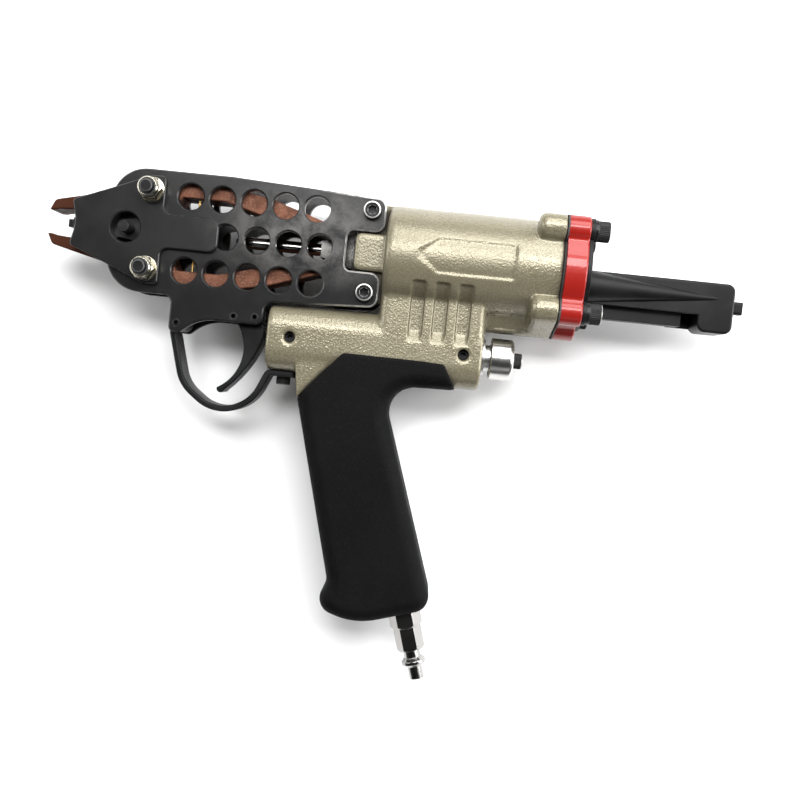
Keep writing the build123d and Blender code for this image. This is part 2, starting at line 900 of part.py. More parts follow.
with BuildPart() as nut_inserts:
    for y in (-pivot_y, pivot_y):
        insert_seat = side(nose_out + nut_washer + nut_hex, pivot_x, y)
        post(insert_seat, nut_insert_r, nut_collar - nut_insert_drop)
        post(insert_seat, pivot_bolt_r + seat_gap, nut_collar, Mode.SUBTRACT)
nut_inserts.part.label = "nut_inserts"
export_step(nut_inserts.part, "parts/nut_inserts.step")

with BuildPart() as jaw_pivot_sleeves:
    for y in (-pivot_y, pivot_y):
        post(side(-half_gap, pivot_x, y), sleeve_r, plate_gap)
        post(side(-half_gap, pivot_x, y), pivot_bolt_r + seat_gap, plate_gap, Mode.SUBTRACT)
jaw_pivot_sleeves.part.label = "jaw_pivot_sleeves"
export_step(jaw_pivot_sleeves.part, "parts/jaw_pivot_sleeves.step")

with BuildPart() as side_plate_screws:
    for y in (-plate_screw_y, plate_screw_y):
        for seat in (side(plate_out, plate_screw_x, y), side_back(plate_out, plate_screw_x, y)):
            screw_length = plate_thickness + plate_screw_depth
            socket_screw(
                seat, plate_screw_r, screw_length, plate_screw_head_r, plate_screw_head, plate_screw_hex,
            )
side_plate_screws.part.label = "side_plate_screws"
export_step(side_plate_screws.part, "parts/side_plate_screws.step")

# Ring guide in the nose and its pin

with BuildPart() as ring_guide:
    with BuildSketch(side(-half_gap)):
        Polygon(
            (guide_tooth_x, guide_tooth_half),
            (guide_front_x, guide_tooth_half),
            (guide_front_x, guide_front_half),
            (guide_waist_x, guide_half),
            (guide_rear_x, guide_half),
            (guide_rear_x, -guide_half),
            (guide_waist_x, -guide_half),
            (guide_front_x, -guide_front_half),
            (guide_front_x, -guide_tooth_half),
            (guide_tooth_x, -guide_tooth_half),
            align=None,
        )
    extrude(amount=plate_gap)
    guide_wing_rear_x = plate_front_x - contact_gap
    block(guide_front_x, guide_wing_rear_x, -guide_front_half, guide_front_half, -plate_out, plate_out)
    post(side(-half_gap, nose_hole_x), nose_pin_r + seat_gap, plate_gap, Mode.SUBTRACT)
ring_guide.part.label = "ring_guide"
export_step(ring_guide.part, "parts/ring_guide.step")

with BuildPart() as nose_pin:
    post(side(-plate_out - nose_pin_show, nose_hole_x), nose_pin_r, 2 * (plate_out + nose_pin_show))
nose_pin.part.label = "nose_pin"
export_step(nose_pin.part, "parts/nose_pin.step")

# Cylinder fittings

with BuildPart() as cylinder_liner:
    bar(cylinder_front_x, barrel_rear_x, liner_r)
    bar(cylinder_front_x, barrel_rear_x, liner_bore_r, mode=Mode.SUBTRACT)
cylinder_liner.part.label = "cylinder_liner"
export_step(cylinder_liner.part, "parts/cylinder_liner.step")

with BuildPart() as front_bumper:
    bar(cylinder_front_x, cylinder_front_x + bumper_length, liner_bore_r - seat_gap)
    bar(cylinder_front_x, cylinder_front_x + bumper_length, bumper_r, mode=Mode.SUBTRACT)
front_bumper.part.label = "front_bumper"
export_step(front_bumper.part, "parts/front_bumper.step")

bush_middle_x = (cavity_rear_x + cylinder_front_x) / 2
rod_seal_x = bush_middle_x - seal_ring_width / 2

with BuildPart() as rod_bush:
    bar(cavity_rear_x, cylinder_front_x, bush_r)
    bar(cavity_rear_x, cylinder_front_x, rod_r + running_gap, mode=Mode.SUBTRACT)
    bar(rod_seal_x, rod_seal_x + seal_ring_width, seal_ring_r + seat_gap, mode=Mode.SUBTRACT)
rod_bush.part.label = "rod_bush"
export_step(rod_bush.part, "parts/rod_bush.step")

with BuildPart() as rod_seal:
    bar(rod_seal_x + seat_gap, rod_seal_x + seal_ring_width - seat_gap, seal_ring_r)
    bar(rod_seal_x, rod_seal_x + seal_ring_width, rod_r + running_gap, mode=Mode.SUBTRACT)
rod_seal.part.label = "rod_seal"
export_step(rod_seal.part, "parts/rod_seal.step")

# Rear cap with its gasket, screws and washers

with BuildPart() as rear_cap_gasket:
    with BuildSketch(cross(barrel_rear_x)):
        Circle(barrel_r)
        with Locations(*lobe_places):
            Circle(lobe_r)
        low_lobe()
        with Locations(*lobe_places):
            Circle(cap_screw_r + seat_gap, mode=Mode.SUBTRACT)
        Circle(liner_bore_r, mode=Mode.SUBTRACT)
        with Locations((passage_y, 0)):
            Circle(passage_r, mode=Mode.SUBTRACT)
    extrude(amount=gasket_thickness)
rear_cap_gasket.part.label = "rear_cap_gasket"
export_step(rear_cap_gasket.part, "parts/rear_cap_gasket.step")

with BuildPart() as rear_cap:
    with BuildSketch(cross(cap_front_x)) as cap_face:
        Circle(cap_r)
        with Locations(*lobe_places):
            Circle(lobe_r)
        with Locations((channel_y, 0)):
            Circle(channel_r)
        fillet(cap_face.vertices(), lobe_blend)
    extrude(amount=cap_thickness)
    fillet(rear_cap.faces().sort_by(Axis.X)[-1].outer_wire().edges(), cap_edge)
    bar(cap_front_x, cap_front_x + cap_pocket, liner_bore_r - cap_pocket, mode=Mode.SUBTRACT)
    block(cap_front_x, cap_front_x + cap_pocket, passage_y, 0, -passage_r, passage_r, Mode.SUBTRACT)
    bar(cap_front_x, cap_front_x + cap_pocket, passage_r, passage_y, mode=Mode.SUBTRACT)
    for y, z in lobe_places:
        bar(cap_front_x, cap_rear_x, cap_screw_r + seat_gap, y, z, Mode.SUBTRACT)
rear_cap.part.label = "rear_cap"
export_step(rear_cap.part, "parts/rear_cap.step")

with BuildPart() as rear_spring_washers:
    for y, z in lobe_places:
        bar(flange_rear_x, flange_rear_x + washer_thickness, washer_r, y, z)
        bar(flange_rear_x, flange_rear_x + washer_thickness, cap_screw_r + seat_gap, y, z, Mode.SUBTRACT)
        split_y = y + math.copysign(washer_r, y)
        split_z = z + washer_split / 2
        block(
            flange_rear_x, flange_rear_x + washer_thickness,
            min(y, split_y), max(y, split_y), z - washer_split / 2, split_z, Mode.SUBTRACT,
        )
rear_spring_washers.part.label = "rear_spring_washers"
export_step(rear_spring_washers.part, "parts/rear_spring_washers.step")

with BuildPart() as rear_cap_screws:
    for y, z in lobe_places:
        head_seat = cross(flange_rear_x + washer_thickness, y, z)
        grip_length = flange_rear_x + washer_thickness - barrel_rear_x + cap_screw_depth - slide_gap
        socket_screw(head_seat, cap_screw_r, grip_length, cap_screw_head_r, cap_screw_head, cap_screw_hex)
rear_cap_screws.part.label = "rear_cap_screws"
export_step(rear_cap_screws.part, "parts/rear_cap_screws.step")

# Magazine tail, rail and ring pusher

channel_half_z = tail_half_z - tail_wall
channel_top_y = tail_top_y - tail_roof

with BuildPart() as magazine_tail:
    with BuildSketch(cross(cap_rear_x)):
        Circle(cap_r - flange_inset)
        with Locations(*lobe_places):
            Circle(lobe_r - flange_inset)
    extrude(amount=flange_thickness)
    for z in (bulge_inset - tail_half_z, tail_half_z - bulge_inset):
        taper(cross(flange_rear_x, bulge_y, z), bulge_r, bulge_end_r, bulge_length)
    block(flange_rear_x, tail_end_x - tail_corner_r, tail_skirt_y, tail_top_y, -tail_half_z, tail_half_z)
    block(
        flange_rear_x, tail_block_x, tail_skirt_y - tail_wall, channel_top_y,
        -channel_half_z, channel_half_z, Mode.SUBTRACT,
    )
    with BuildSketch(side(-tail_half_z)):
        with BuildLine():
            FilletPolyline(
                (tail_block_x, tail_top_y - tail_roof),
                (tail_block_x + tail_roof, tail_top_y),
                (tail_end_x, tail_top_y),
                (tail_end_x, tail_block_y),
                (tail_block_x, tail_block_y),
                radius=[0, 0, tail_corner_r, tail_corner_r, tail_block_r],
                close=True,
            )
        make_face()
    extrude(amount=2 * tail_half_z)
    block(
        tail_block_x - cheek_length, tail_block_x + tail_block_r, rail_bottom_y, tail_skirt_y + tail_wall,
        -tail_half_z, -channel_half_z,
    )
    tail_ridges = magazine_tail.edges().filter_by(Axis.X)
    tail_ridges = tail_ridges.filter_by_position(Axis.Y, tool_y + tail_top_y, tool_y + tail_top_y)
    fillet(tail_ridges, tail_edge)
    bar(tail_block_x, tail_end_x, pull_rod_r + running_gap, pull_rod_y, mode=Mode.SUBTRACT)
    for y, z in lobe_places:
        bar(cap_rear_x, flange_rear_x, cap_screw_r + seat_gap, y, z, Mode.SUBTRACT)
magazine_tail.part.label = "magazine_tail"
export_step(magazine_tail.part, "parts/magazine_tail.step")

with BuildPart() as ring_rail:
    block(flange_rear_x, flange_rear_x + rail_length, rail_bottom_y, rail_top_y, -rail_half_z, rail_half_z)
ring_rail.part.label = "ring_rail"
export_step(ring_rail.part, "parts/ring_rail.step")

pusher_front_x = flange_rear_x + pusher_gap
pusher_rear_x = pusher_front_x + pusher_length
pusher_half_z = channel_half_z - slide_gap

with BuildPart() as ring_pusher:
    block(
        pusher_front_x, pusher_rear_x, pusher_low_y, channel_top_y - slide_gap,
        -pusher_half_z, pusher_half_z,
    )
    bar(pusher_rear_x, pull_tab_end_x, pull_rod_r, pull_rod_y)
ring_pusher.part.label = "ring_pusher"
export_step(ring_pusher.part, "parts/ring_pusher.step")

with BuildPart() as pull_tab:
    block(
        tail_end_x + contact_gap, pull_tab_end_x,
        pull_rod_y - pull_tab_half_y, pull_rod_y + pull_tab_half_y, -pull_tab_half_z, pull_tab_half_z,
    )
    fillet(pull_tab.edges().filter_by(Axis.X), pull_tab_round)
    bar(tail_end_x, pull_tab_end_x, pull_rod_r + seat_gap, pull_rod_y, mode=Mode.SUBTRACT)
pull_tab.part.label = "pull_tab"
export_step(pull_tab.part, "parts/pull_tab.step")

with BuildPart() as pusher_spring:
    with BuildLine() as pusher_line:
        spring_room = tail_block_x - pusher_rear_x - 2 * (pusher_spring_wire_r + contact_gap)
        spring_seat = cross(pusher_rear_x + pusher_spring_wire_r + contact_gap, pull_rod_y)
        curls(spring_seat, pusher_spring_mean_r, spring_room, pusher_spring_turns)
    with BuildSketch(across_start(pusher_line.wires()[0])):
        Circle(pusher_spring_wire_r)
    sweep()
pusher_spring.part.label = "pusher_spring"
export_step(pusher_spring.part, "parts/pusher_spring.step")
print("pusher spring gap", least_gap(pusher_line.wires()[0], pusher_spring_wire_r, pusher_spring_turns))

# Ram

piston_r = liner_bore_r - running_gap
seal_x = (piston_front_x + piston_rear_x - seal_width) / 2
nut_room_x = piston_rear_x - piston_nut_height - contact_gap

with BuildPart() as piston:
    bar(piston_front_x, piston_rear_x, piston_r)
    bar(piston_front_x, piston_rear_x, rod_spigot_r + seat_gap, mode=Mode.SUBTRACT)
    bar(nut_room_x, piston_rear_x, piston_nut_room_r, mode=Mode.SUBTRACT)
    with BuildSketch(cross(seal_x)):
        Circle(piston_r + seal_depth)
        Circle(piston_r - seal_depth, mode=Mode.SUBTRACT)
    extrude(amount=seal_width, mode=Mode.SUBTRACT)
piston.part.label = "piston"
export_step(piston.part, "parts/piston.step")

with BuildPart() as piston_seal:
    bar(seal_x + seat_gap, seal_x + seal_width - seat_gap, piston_r)
    bar(seal_x, seal_x + seal_width, piston_r - seal_depth + seat_gap, mode=Mode.SUBTRACT)
piston_seal.part.label = "piston_seal"
export_step(piston_seal.part, "parts/piston_seal.step")

wedge_pin_x = wedge_rear_x - wedge_pin_inset

with BuildPart() as piston_rod:
    bar(wedge_rear_x, piston_front_x, rod_r)
    bar(piston_front_x, piston_rear_x, rod_spigot_r)
    bar(rod_nose_x + rod_nose_r, wedge_rear_x, rod_nose_r)
    taper(cross(rod_nose_x), rod_nose_r / 2, rod_nose_r, rod_nose_r)
    post(side(-rod_r, wedge_pin_x), wedge_pin_r + seat_gap, 2 * rod_r, Mode.SUBTRACT)
piston_rod.part.label = "piston_rod"
export_step(piston_rod.part, "parts/piston_rod.step")

with BuildPart() as piston_nut:
    hexagon(cross(nut_room_x), piston_nut_across, piston_nut_height)
    bar(nut_room_x, piston_rear_x, rod_spigot_r + seat_gap, mode=Mode.SUBTRACT)
piston_nut.part.label = "piston_nut"
export_step(piston_nut.part, "parts/piston_nut.step")

with BuildPart() as wedge:
    with BuildSketch(side(-wedge_half_z)):
        Polygon(
            (wedge_front_x, -wedge_front_half),
            (wedge_rear_x, -wedge_rear_half),
            (wedge_rear_x, wedge_rear_half),
            (wedge_front_x, wedge_front_half),
            align=None,
        )
    extrude(amount=2 * wedge_half_z)
    bar(wedge_front_x, wedge_rear_x, rod_nose_r + seat_gap, mode=Mode.SUBTRACT)
    post(side(-wedge_half_z, wedge_pin_x), wedge_pin_r + seat_gap, 2 * wedge_half_z, Mode.SUBTRACT)
wedge.part.label = "wedge"
export_step(wedge.part, "parts/wedge.step")

with BuildPart() as wedge_pin:
    post(side(-wedge_half_z, wedge_pin_x), wedge_pin_r, 2 * wedge_half_z)
wedge_pin.part.label = "wedge_pin"
export_step(wedge_pin.part, "parts/wedge_pin.step")

with BuildPart() as piston_return_spring:
    with BuildLine() as return_line:
        spring_room = piston_front_x - cylinder_front_x - 2 * (return_wire_r + contact_gap)
        curls(cross(cylinder_front_x + return_wire_r + contact_gap), return_mean_r, spring_room, return_turns)
    with BuildSketch(across_start(return_line.wires()[0])):
        Circle(return_wire_r)
    sweep()
piston_return_spring.part.label = "piston_return_spring"
export_step(piston_return_spring.part, "parts/piston_return_spring.step")
print("return spring gap", least_gap(return_line.wires()[0], return_wire_r, return_turns))

# Jaws and their return springs

spring_pitch = 2 * jaw_spring_half / jaw_spring_turns
spring_climb = math.atan2(spring_pitch, 2 * math.pi * jaw_spring_mean_r)
leg_side = jaw_spring_bend_r * (1 - math.sin(spring_climb))
leg_start = jaw_spring_half + jaw_spring_bend_r * math.cos(spring_climb)
leg_end = arm_inner_y + jaw_spring_seat
leg_x = jaw_spring_x + jaw_spring_mean_r

with BuildPart() as upper_jaw:
    with BuildSketch(side(-jaw_half_z)):
        with BuildLine():
            FilletPolyline(
                (jaw_tip_x, mouth_half),
                (jaw_shoulder_x, jaw_shoulder_y),
                (jaw_cheek_x, jaw_cheek_y),
                (jaw_crown_x, jaw_top_y),
                (jaw_top_x, jaw_arm_y),
                (jaw_bend_x, jaw_bend_y),
                (tail_nose_x, tail_nose_y + tail_nose_r),
                (tail_nose_x, tail_nose_y - tail_nose_r),
                (arm_inner_bend_x, arm_inner_bend_y),
                (arm_rear_x, arm_inner_y),
                (arm_front_x, arm_inner_y),
                (jaw_heel_x, jaw_heel_y),
                (throat_rear_x, throat_half),
                (throat_x, throat_half),
                (bite_x, bite_half),
                (pad_rear_x, mouth_half),
                radius=[
                    0, jaw_shoulder_r, jaw_crown_r, jaw_crown_r, jaw_crown_r, jaw_crown_r, 0, 0,
                    jaw_crown_r, jaw_crown_r, jaw_tip_r, jaw_tip_r, jaw_crown_r,
                    jaw_tip_r, jaw_tip_r, jaw_tip_r,
                ],
                close=True,
            )
        make_face()
        with Locations((tail_nose_x, tail_nose_y)):
            Circle(tail_nose_r)
    extrude(amount=2 * jaw_half_z)
    jaw_sides = upper_jaw.faces().sort_by(Axis.Z)
    chamfer(jaw_sides[0].edges() + jaw_sides[-1].edges(), jaw_edge)
    post(side(-jaw_half_z, pivot_x, pivot_y), sleeve_r + running_gap, 2 * jaw_half_z, Mode.SUBTRACT)
    for z in (-jaw_spring_z, jaw_spring_z):
        leg_hole = upward(arm_inner_y, leg_x, z - leg_side)
        post(leg_hole, jaw_spring_hole_r, jaw_spring_hole_depth, Mode.SUBTRACT)
upper_jaw.part.label = "upper_jaw"
export_step(upper_jaw.part, "parts/upper_jaw.step")

with BuildPart() as lower_jaw:
    add(upper_jaw.part.rotate(Axis((tool_x, tool_y, tool_z), (1, 0, 0)), 180))
lower_jaw.part.label = "lower_jaw"
export_step(lower_jaw.part, "parts/lower_jaw.step")

with BuildPart() as jaw_return_springs:
    for z in (-jaw_spring_z, jaw_spring_z):
        with BuildLine() as jaw_line:
            seat = upward(-jaw_spring_half, jaw_spring_x, z)
            foot = seat.origin + seat.x_dir * jaw_spring_mean_r
            low_bend = foot - seat.y_dir * leg_side - seat.z_dir * (leg_start - jaw_spring_half)
            Line(low_bend - seat.z_dir * (leg_end - leg_start), low_bend)
            TangentArc(low_bend, foot, tangent=seat.z_dir)
            curls(seat, jaw_spring_mean_r, 2 * jaw_spring_half, jaw_spring_turns)
            top = foot + seat.z_dir * (2 * jaw_spring_half)
            high_bend = top + seat.y_dir * leg_side + seat.z_dir * (leg_start - jaw_spring_half)
            TangentArc(high_bend, top, tangent=-seat.z_dir)
            Line(high_bend, high_bend + seat.z_dir * (leg_end - leg_start))
        with BuildSketch(across_start(jaw_line.wires()[0])):
            Circle(jaw_spring_wire_r)
        sweep(path=jaw_line.wires()[0])
jaw_return_springs.part.label = "jaw_return_springs"
export_step(jaw_return_springs.part, "parts/jaw_return_springs.step")
print("jaw spring gap", least_gap(jaw_line.wires()[0], jaw_spring_wire_r, jaw_spring_turns))

# Trigger with its pins and guard

with BuildPart() as trigger:
    with BuildSketch(side(-trigger_half_z)):
        with BuildLine():
            trigger_top_y = stop_pin_y - roll_pin_r - contact_gap
            front_top = (trigger_front_x, trigger_top_y)
            tip_front = (trigger_tip_x, trigger_tip_y)
            tip_rear = (trigger_tip_x + trigger_tip_depth, trigger_tip_y - trigger_tip_drop)
            pad_low = (trigger_pad_x, trigger_pad_low_y)
            pad_top = (trigger_pad_x, trigger_pad_top_y)
            tip_end = (
                trigger_tip_x + (trigger_tip_depth - trigger_tip_drop) / 2,
                trigger_tip_y - (trigger_tip_depth + trigger_tip_drop) / 2,
            )
            ThreePointArc(front_top, (trigger_waist_x, trigger_waist_y), tip_front)
            ThreePointArc(tip_front, tip_end, tip_rear)
            ThreePointArc(tip_rear, (trigger_back_x, trigger_back_y), pad_low)
            Line(pad_low, pad_top)
            Line(pad_top, (trigger_pin_x, trigger_pin_y))
            Line((trigger_pin_x, trigger_pin_y), (trigger_pin_x - trigger_boss_r, trigger_top_y))
            Line((trigger_pin_x - trigger_boss_r, trigger_top_y), front_top)
        make_face()
        with Locations((trigger_pin_x, trigger_pin_y)):
            Circle(trigger_boss_r)
            Circle(roll_pin_r + running_gap, mode=Mode.SUBTRACT)
    extrude(amount=2 * trigger_half_z)
    trigger_sides = trigger.faces().sort_by(Axis.Z)
    trigger_rims = trigger_sides[0].outer_wire().edges() + trigger_sides[-1].outer_wire().edges()
    lever_rims = trigger_rims.filter_by_position(Axis.Y, tool_y + plug_low_y, tool_y + trigger_pad_low_y)
    fillet(lever_rims, trigger_edge)
trigger.part.label = "trigger"
export_step(trigger.part, "parts/trigger.step")

with BuildPart() as trigger_pin:
    roll_pin(trigger_pin_x, trigger_pin_y)
trigger_pin.part.label = "trigger_pin"
export_step(trigger_pin.part, "parts/trigger_pin.step")

with BuildPart() as trigger_stop_pin:
    roll_pin(stop_pin_x, stop_pin_y)
trigger_stop_pin.part.label = "trigger_stop_pin"
export_step(trigger_stop_pin.part, "parts/trigger_stop_pin.step")

with BuildPart() as guard_pin:
    roll_pin(guard_pin_x, guard_pin_y)
guard_pin.part.label = "guard_pin"
export_step(guard_pin.part, "parts/guard_pin.step")

guard_tab_y = housing_bottom_y - guard_thickness / 2

with BuildPart() as trigger_guard:
    with BuildSketch(side(-guard_half_z)):
        with BuildLine() as guard_line:
            FilletPolyline(
                (guard_pin_x, guard_pin_y),
                (guard_shoulder_x, guard_shoulder_y),
                (guard_front_x, guard_front_y),
                (guard_bottom_x, guard_bottom_y),
                (guard_rise_x, guard_rise_y),
                (guard_tab_front_x, guard_tab_y),
                (guard_tab_rear_x, guard_tab_y),
                radius=[guard_bend_r, guard_curve_r, guard_curve_r, guard_curve_r, guard_bend_r],
            )
        trace(line_width=guard_thickness)
        with Locations((guard_pin_x, guard_pin_y)):
            Circle(guard_eye_r)
            Circle(roll_pin_r + seat_gap, mode=Mode.SUBTRACT)
    extrude(amount=2 * guard_half_z)
    guard_sides = trigger_guard.faces().sort_by(Axis.Z)
    chamfer(guard_sides[0].outer_wire().edges() + guard_sides[-1].outer_wire().edges(), guard_edge)
    guard_hole = upward(guard_tab_y - guard_thickness, guard_screw_x)
    post(guard_hole, guard_screw_r + seat_gap, 2 * guard_thickness, Mode.SUBTRACT)
trigger_guard.part.label = "trigger_guard"
export_step(trigger_guard.part, "parts/trigger_guard.step")

with BuildPart() as guard_screw:
    head_seat = downward(housing_bottom_y - guard_thickness, guard_screw_x)
    guard_reach = guard_thickness + guard_screw_depth - slide_gap
    socket_screw(head_seat, guard_screw_r, guard_reach, guard_screw_head_r, guard_screw_head, guard_screw_hex)
guard_screw.part.label = "guard_screw"
export_step(guard_screw.part, "parts/guard_screw.step")

# Valve

stem_tip_x = trigger_pad_x + slide_gap
bushing_rear_x = housing_front_x + bushing_length
stem_land_x = bushing_rear_x + stem_land_gap
stem_land_rear_x = stem_land_x + stem_land_length
stem_land_r = valve_bore_r - running_gap
o_ring_places = (stem_land_x + o_ring_inset, stem_land_rear_x - o_ring_inset)

with BuildPart() as valve_bushing:
    bar(housing_front_x, bushing_rear_x, valve_bore_r, valve_y)
    bar(housing_front_x, bushing_rear_x, stem_tip_r + running_gap, valve_y, mode=Mode.SUBTRACT)
    screw_bite = side(valve_bore_r - set_screw_bite, set_screw_front_x, valve_y)
    post(screw_bite, set_screw_r + seat_gap, set_screw_bite, Mode.SUBTRACT)
valve_bushing.part.label = "valve_bushing"
export_step(valve_bushing.part, "parts/valve_bushing.step")

with BuildPart() as valve_stem:
    bar(stem_tip_x + stem_tip_r, stem_land_x, stem_tip_r, valve_y)
    with Locations(cross(stem_tip_x + stem_tip_r, valve_y)):
        Sphere(stem_tip_r)
    bar(stem_land_x, stem_land_rear_x, stem_land_r, valve_y)
    bar(stem_land_rear_x, stem_land_rear_x + stem_tail_length, stem_tail_r, valve_y)
    for x in o_ring_places:
        with BuildSketch(cross(x - o_ring_r - seat_gap, valve_y)):
            Circle(valve_bore_r)
            Circle(stem_land_r - 2 * o_ring_r - seat_gap, mode=Mode.SUBTRACT)
        extrude(amount=2 * (o_ring_r + seat_gap), mode=Mode.SUBTRACT)
valve_stem.part.label = "valve_stem"
export_step(valve_stem.part, "parts/valve_stem.step")

with BuildPart() as valve_o_rings:
    for x in o_ring_places:
        with Locations(cross(x, valve_y)):
            Torus(stem_land_r - o_ring_r, o_ring_r)
valve_o_rings.part.label = "valve_o_rings"
export_step(valve_o_rings.part, "parts/valve_o_rings.step")

with BuildPart() as valve_spring:
    with BuildLine() as valve_line:
        spring_room = exhaust_plug_x - stem_land_rear_x - 2 * (valve_spring_wire_r + contact_gap)
        spring_seat = cross(stem_land_rear_x + valve_spring_wire_r + contact_gap, valve_y)
        curls(spring_seat, valve_spring_mean_r, spring_room, valve_spring_turns)
    with BuildSketch(across_start(valve_line.wires()[0])):
        Circle(valve_spring_wire_r)
    sweep()
valve_spring.part.label = "valve_spring"
export_step(valve_spring.part, "parts/valve_spring.step")
print("valve spring gap", least_gap(valve_line.wires()[0], valve_spring_wire_r, valve_spring_turns))

with BuildPart() as valve_set_screws:
    for x in (set_screw_front_x, set_screw_rear_x):
        screw_foot = side(valve_bore_r - set_screw_bite, x, valve_y)
        screw_height = housing_half_z - set_screw_recess - valve_bore_r + set_screw_bite
        post(screw_foot, set_screw_r, screw_height)
        hexagon(screw_foot.offset(screw_height / 2), set_screw_hex, screw_height / 2, Mode.SUBTRACT)
valve_set_screws.part.label = "valve_set_screws"
export_step(valve_set_screws.part, "parts/valve_set_screws.step")

# Exhaust

collar_rear_x = housing_rear_x + exhaust_collar
cup_front_x = collar_rear_x + exhaust_neck
cup_rear_x = cup_front_x + exhaust_cup_length
cup_floor_x = cup_rear_x - exhaust_cup_wall
vent_x = cup_front_x + exhaust_neck

with BuildPart() as exhaust_plug:
    bar(exhaust_plug_x, housing_rear_x, valve_bore_r, valve_y)
    bar(housing_rear_x, collar_rear_x, exhaust_collar_r, valve_y)
    bar(collar_rear_x, cup_front_x, exhaust_neck_r, valve_y)
    bar(cup_front_x, cup_floor_x, exhaust_post_r, valve_y)
    bar(exhaust_plug_x, vent_x, exhaust_vent_r, valve_y, mode=Mode.SUBTRACT)
    post(side(-exhaust_post_r, vent_x, valve_y), exhaust_vent_r / 2, 2 * exhaust_post_r, Mode.SUBTRACT)
    screw_end_x = cup_floor_x - exhaust_screw_depth
    bar(screw_end_x, cup_floor_x, exhaust_screw_r + seat_gap, valve_y, mode=Mode.SUBTRACT)
    screw_bite = side(valve_bore_r - set_screw_bite, set_screw_rear_x, valve_y)
    post(screw_bite, set_screw_r + seat_gap, set_screw_bite, Mode.SUBTRACT)
exhaust_plug.part.label = "exhaust_plug"
export_step(exhaust_plug.part, "parts/exhaust_plug.step")

with BuildPart() as exhaust_cup:
    bar(cup_front_x, cup_rear_x, exhaust_cup_r, valve_y)
    cup_rims = exhaust_cup.edges().filter_by(GeomType.CIRCLE).sort_by(Axis.X)
    chamfer(cup_rims[0], exhaust_cup_edge)
    fillet(cup_rims[-1], exhaust_cup_round)
    bar(cup_front_x, cup_floor_x, exhaust_cup_r - exhaust_cup_wall, valve_y, mode=Mode.SUBTRACT)
    bar(cup_floor_x, cup_rear_x, exhaust_screw_r + seat_gap, valve_y, mode=Mode.SUBTRACT)
exhaust_cup.part.label = "exhaust_cup"
export_step(exhaust_cup.part, "parts/exhaust_cup.step")

with BuildPart() as exhaust_screw:
    head_seat = cross(cup_rear_x, valve_y)
    screw_reach = exhaust_cup_wall + exhaust_screw_depth - slide_gap
    socket_screw(
        head_seat, exhaust_screw_r, screw_reach, exhaust_screw_head_r, exhaust_screw_head, exhaust_screw_hex,
    )
exhaust_screw.part.label = "exhaust_screw"
export_step(exhaust_screw.part, "parts/exhaust_screw.step")

# Grip sleeve

with BuildPart() as grip_sleeve:
    with BuildSketch(side(-grip_half_z)):
        with BuildLine():
            FilletPolyline(
                grip_front_top,
                grip_front_low,
                grip_lip,
                grip_base,
                grip_heel,
                grip_web,
                grip_wing_tip,
                grip_wing_top,
                grip_shoulder,
                radius=[0, grip_waist_r, grip_lip_r, grip_base_r, grip_heel_r, grip_web_r, 0, 0, 0],
                close=True,
            )
        make_face()
    extrude(amount=2 * grip_half_z)
    rounded = grip_sleeve.edges().filter_by_position(Axis.Z, tool_z - grip_half_z, tool_z - grip_half_z)
    rounded += grip_sleeve.edges().filter_by_position(Axis.Z, tool_z + grip_half_z, tool_z + grip_half_z)
    rounded = rounded.filter_by(lambda edge: edge.center().Y < tool_y + grip_wing_tip[1])
    rounded = rounded.filter_by(lambda edge: edge.center().Y < tool_y + (grip_front_top[1] + grip_web[1]) / 2)
    fillet(rounded, grip_round)
    with BuildSketch(cross(housing_front_x)):
        housing_outline(sleeve_gap)
    extrude(amount=housing_rear_x - housing_front_x, mode=Mode.SUBTRACT)
    with BuildSketch(side(-core_half_z - sleeve_gap)):
        core_outline(sleeve_gap)
    extrude(amount=2 * (core_half_z + sleeve_gap), mode=Mode.SUBTRACT)
    post(down_grip(-inlet_bush_depth), inlet_bush_r + sleeve_gap, 2 * inlet_bush_depth, Mode.SUBTRACT)
grip_sleeve.part.label = "grip_sleeve"
export_step(grip_sleeve.part, "parts/grip_sleeve.step")

# Air inlet

with BuildPart() as inlet_bushing:
    bush_length = inlet_bush_depth + inlet_bush_show
    turned_hexagon(down_grip(inlet_bush_seat), inlet_bush_hex, inlet_bush_show - inlet_bush_seat)
    post(down_grip(-inlet_bush_depth), inlet_bush_r, bush_length)
    post(down_grip(-inlet_bush_depth), plug_thread_r + seat_gap, bush_length, Mode.SUBTRACT)
inlet_bushing.part.label = "inlet_bushing"
export_step(inlet_bushing.part, "parts/inlet_bushing.step")

ring_bevel = (plug_ring_end - plug_neck_end) / 3

with BuildPart() as air_plug:
    turned_hexagon(down_grip(inlet_bush_show), plug_hex, plug_hex_end - inlet_bush_show)
    post(down_grip(inlet_bush_show - plug_thread_length), plug_thread_r, plug_thread_length)
    post(down_grip(plug_hex_end), plug_neck_r, plug_neck_end - plug_hex_end)
    taper(down_grip(plug_neck_end), plug_ring_r - ring_bevel, plug_ring_r, ring_bevel)
    post(down_grip(plug_neck_end + ring_bevel), plug_ring_r, ring_bevel)
    taper(down_grip(plug_ring_end - ring_bevel), plug_ring_r, plug_ring_r - ring_bevel, ring_bevel)
    post(down_grip(plug_ring_end), plug_tip_r, plug_end - plug_ring_end)
    plug_length = plug_end - inlet_bush_show + plug_thread_length
    post(down_grip(inlet_bush_show - plug_thread_length), plug_bore_r, plug_length, Mode.SUBTRACT)
air_plug.part.label = "air_plug"
export_step(air_plug.part, "parts/air_plug.step")
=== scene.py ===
import json
import math

import bmesh
import bpy
from mathutils import Matrix, Vector


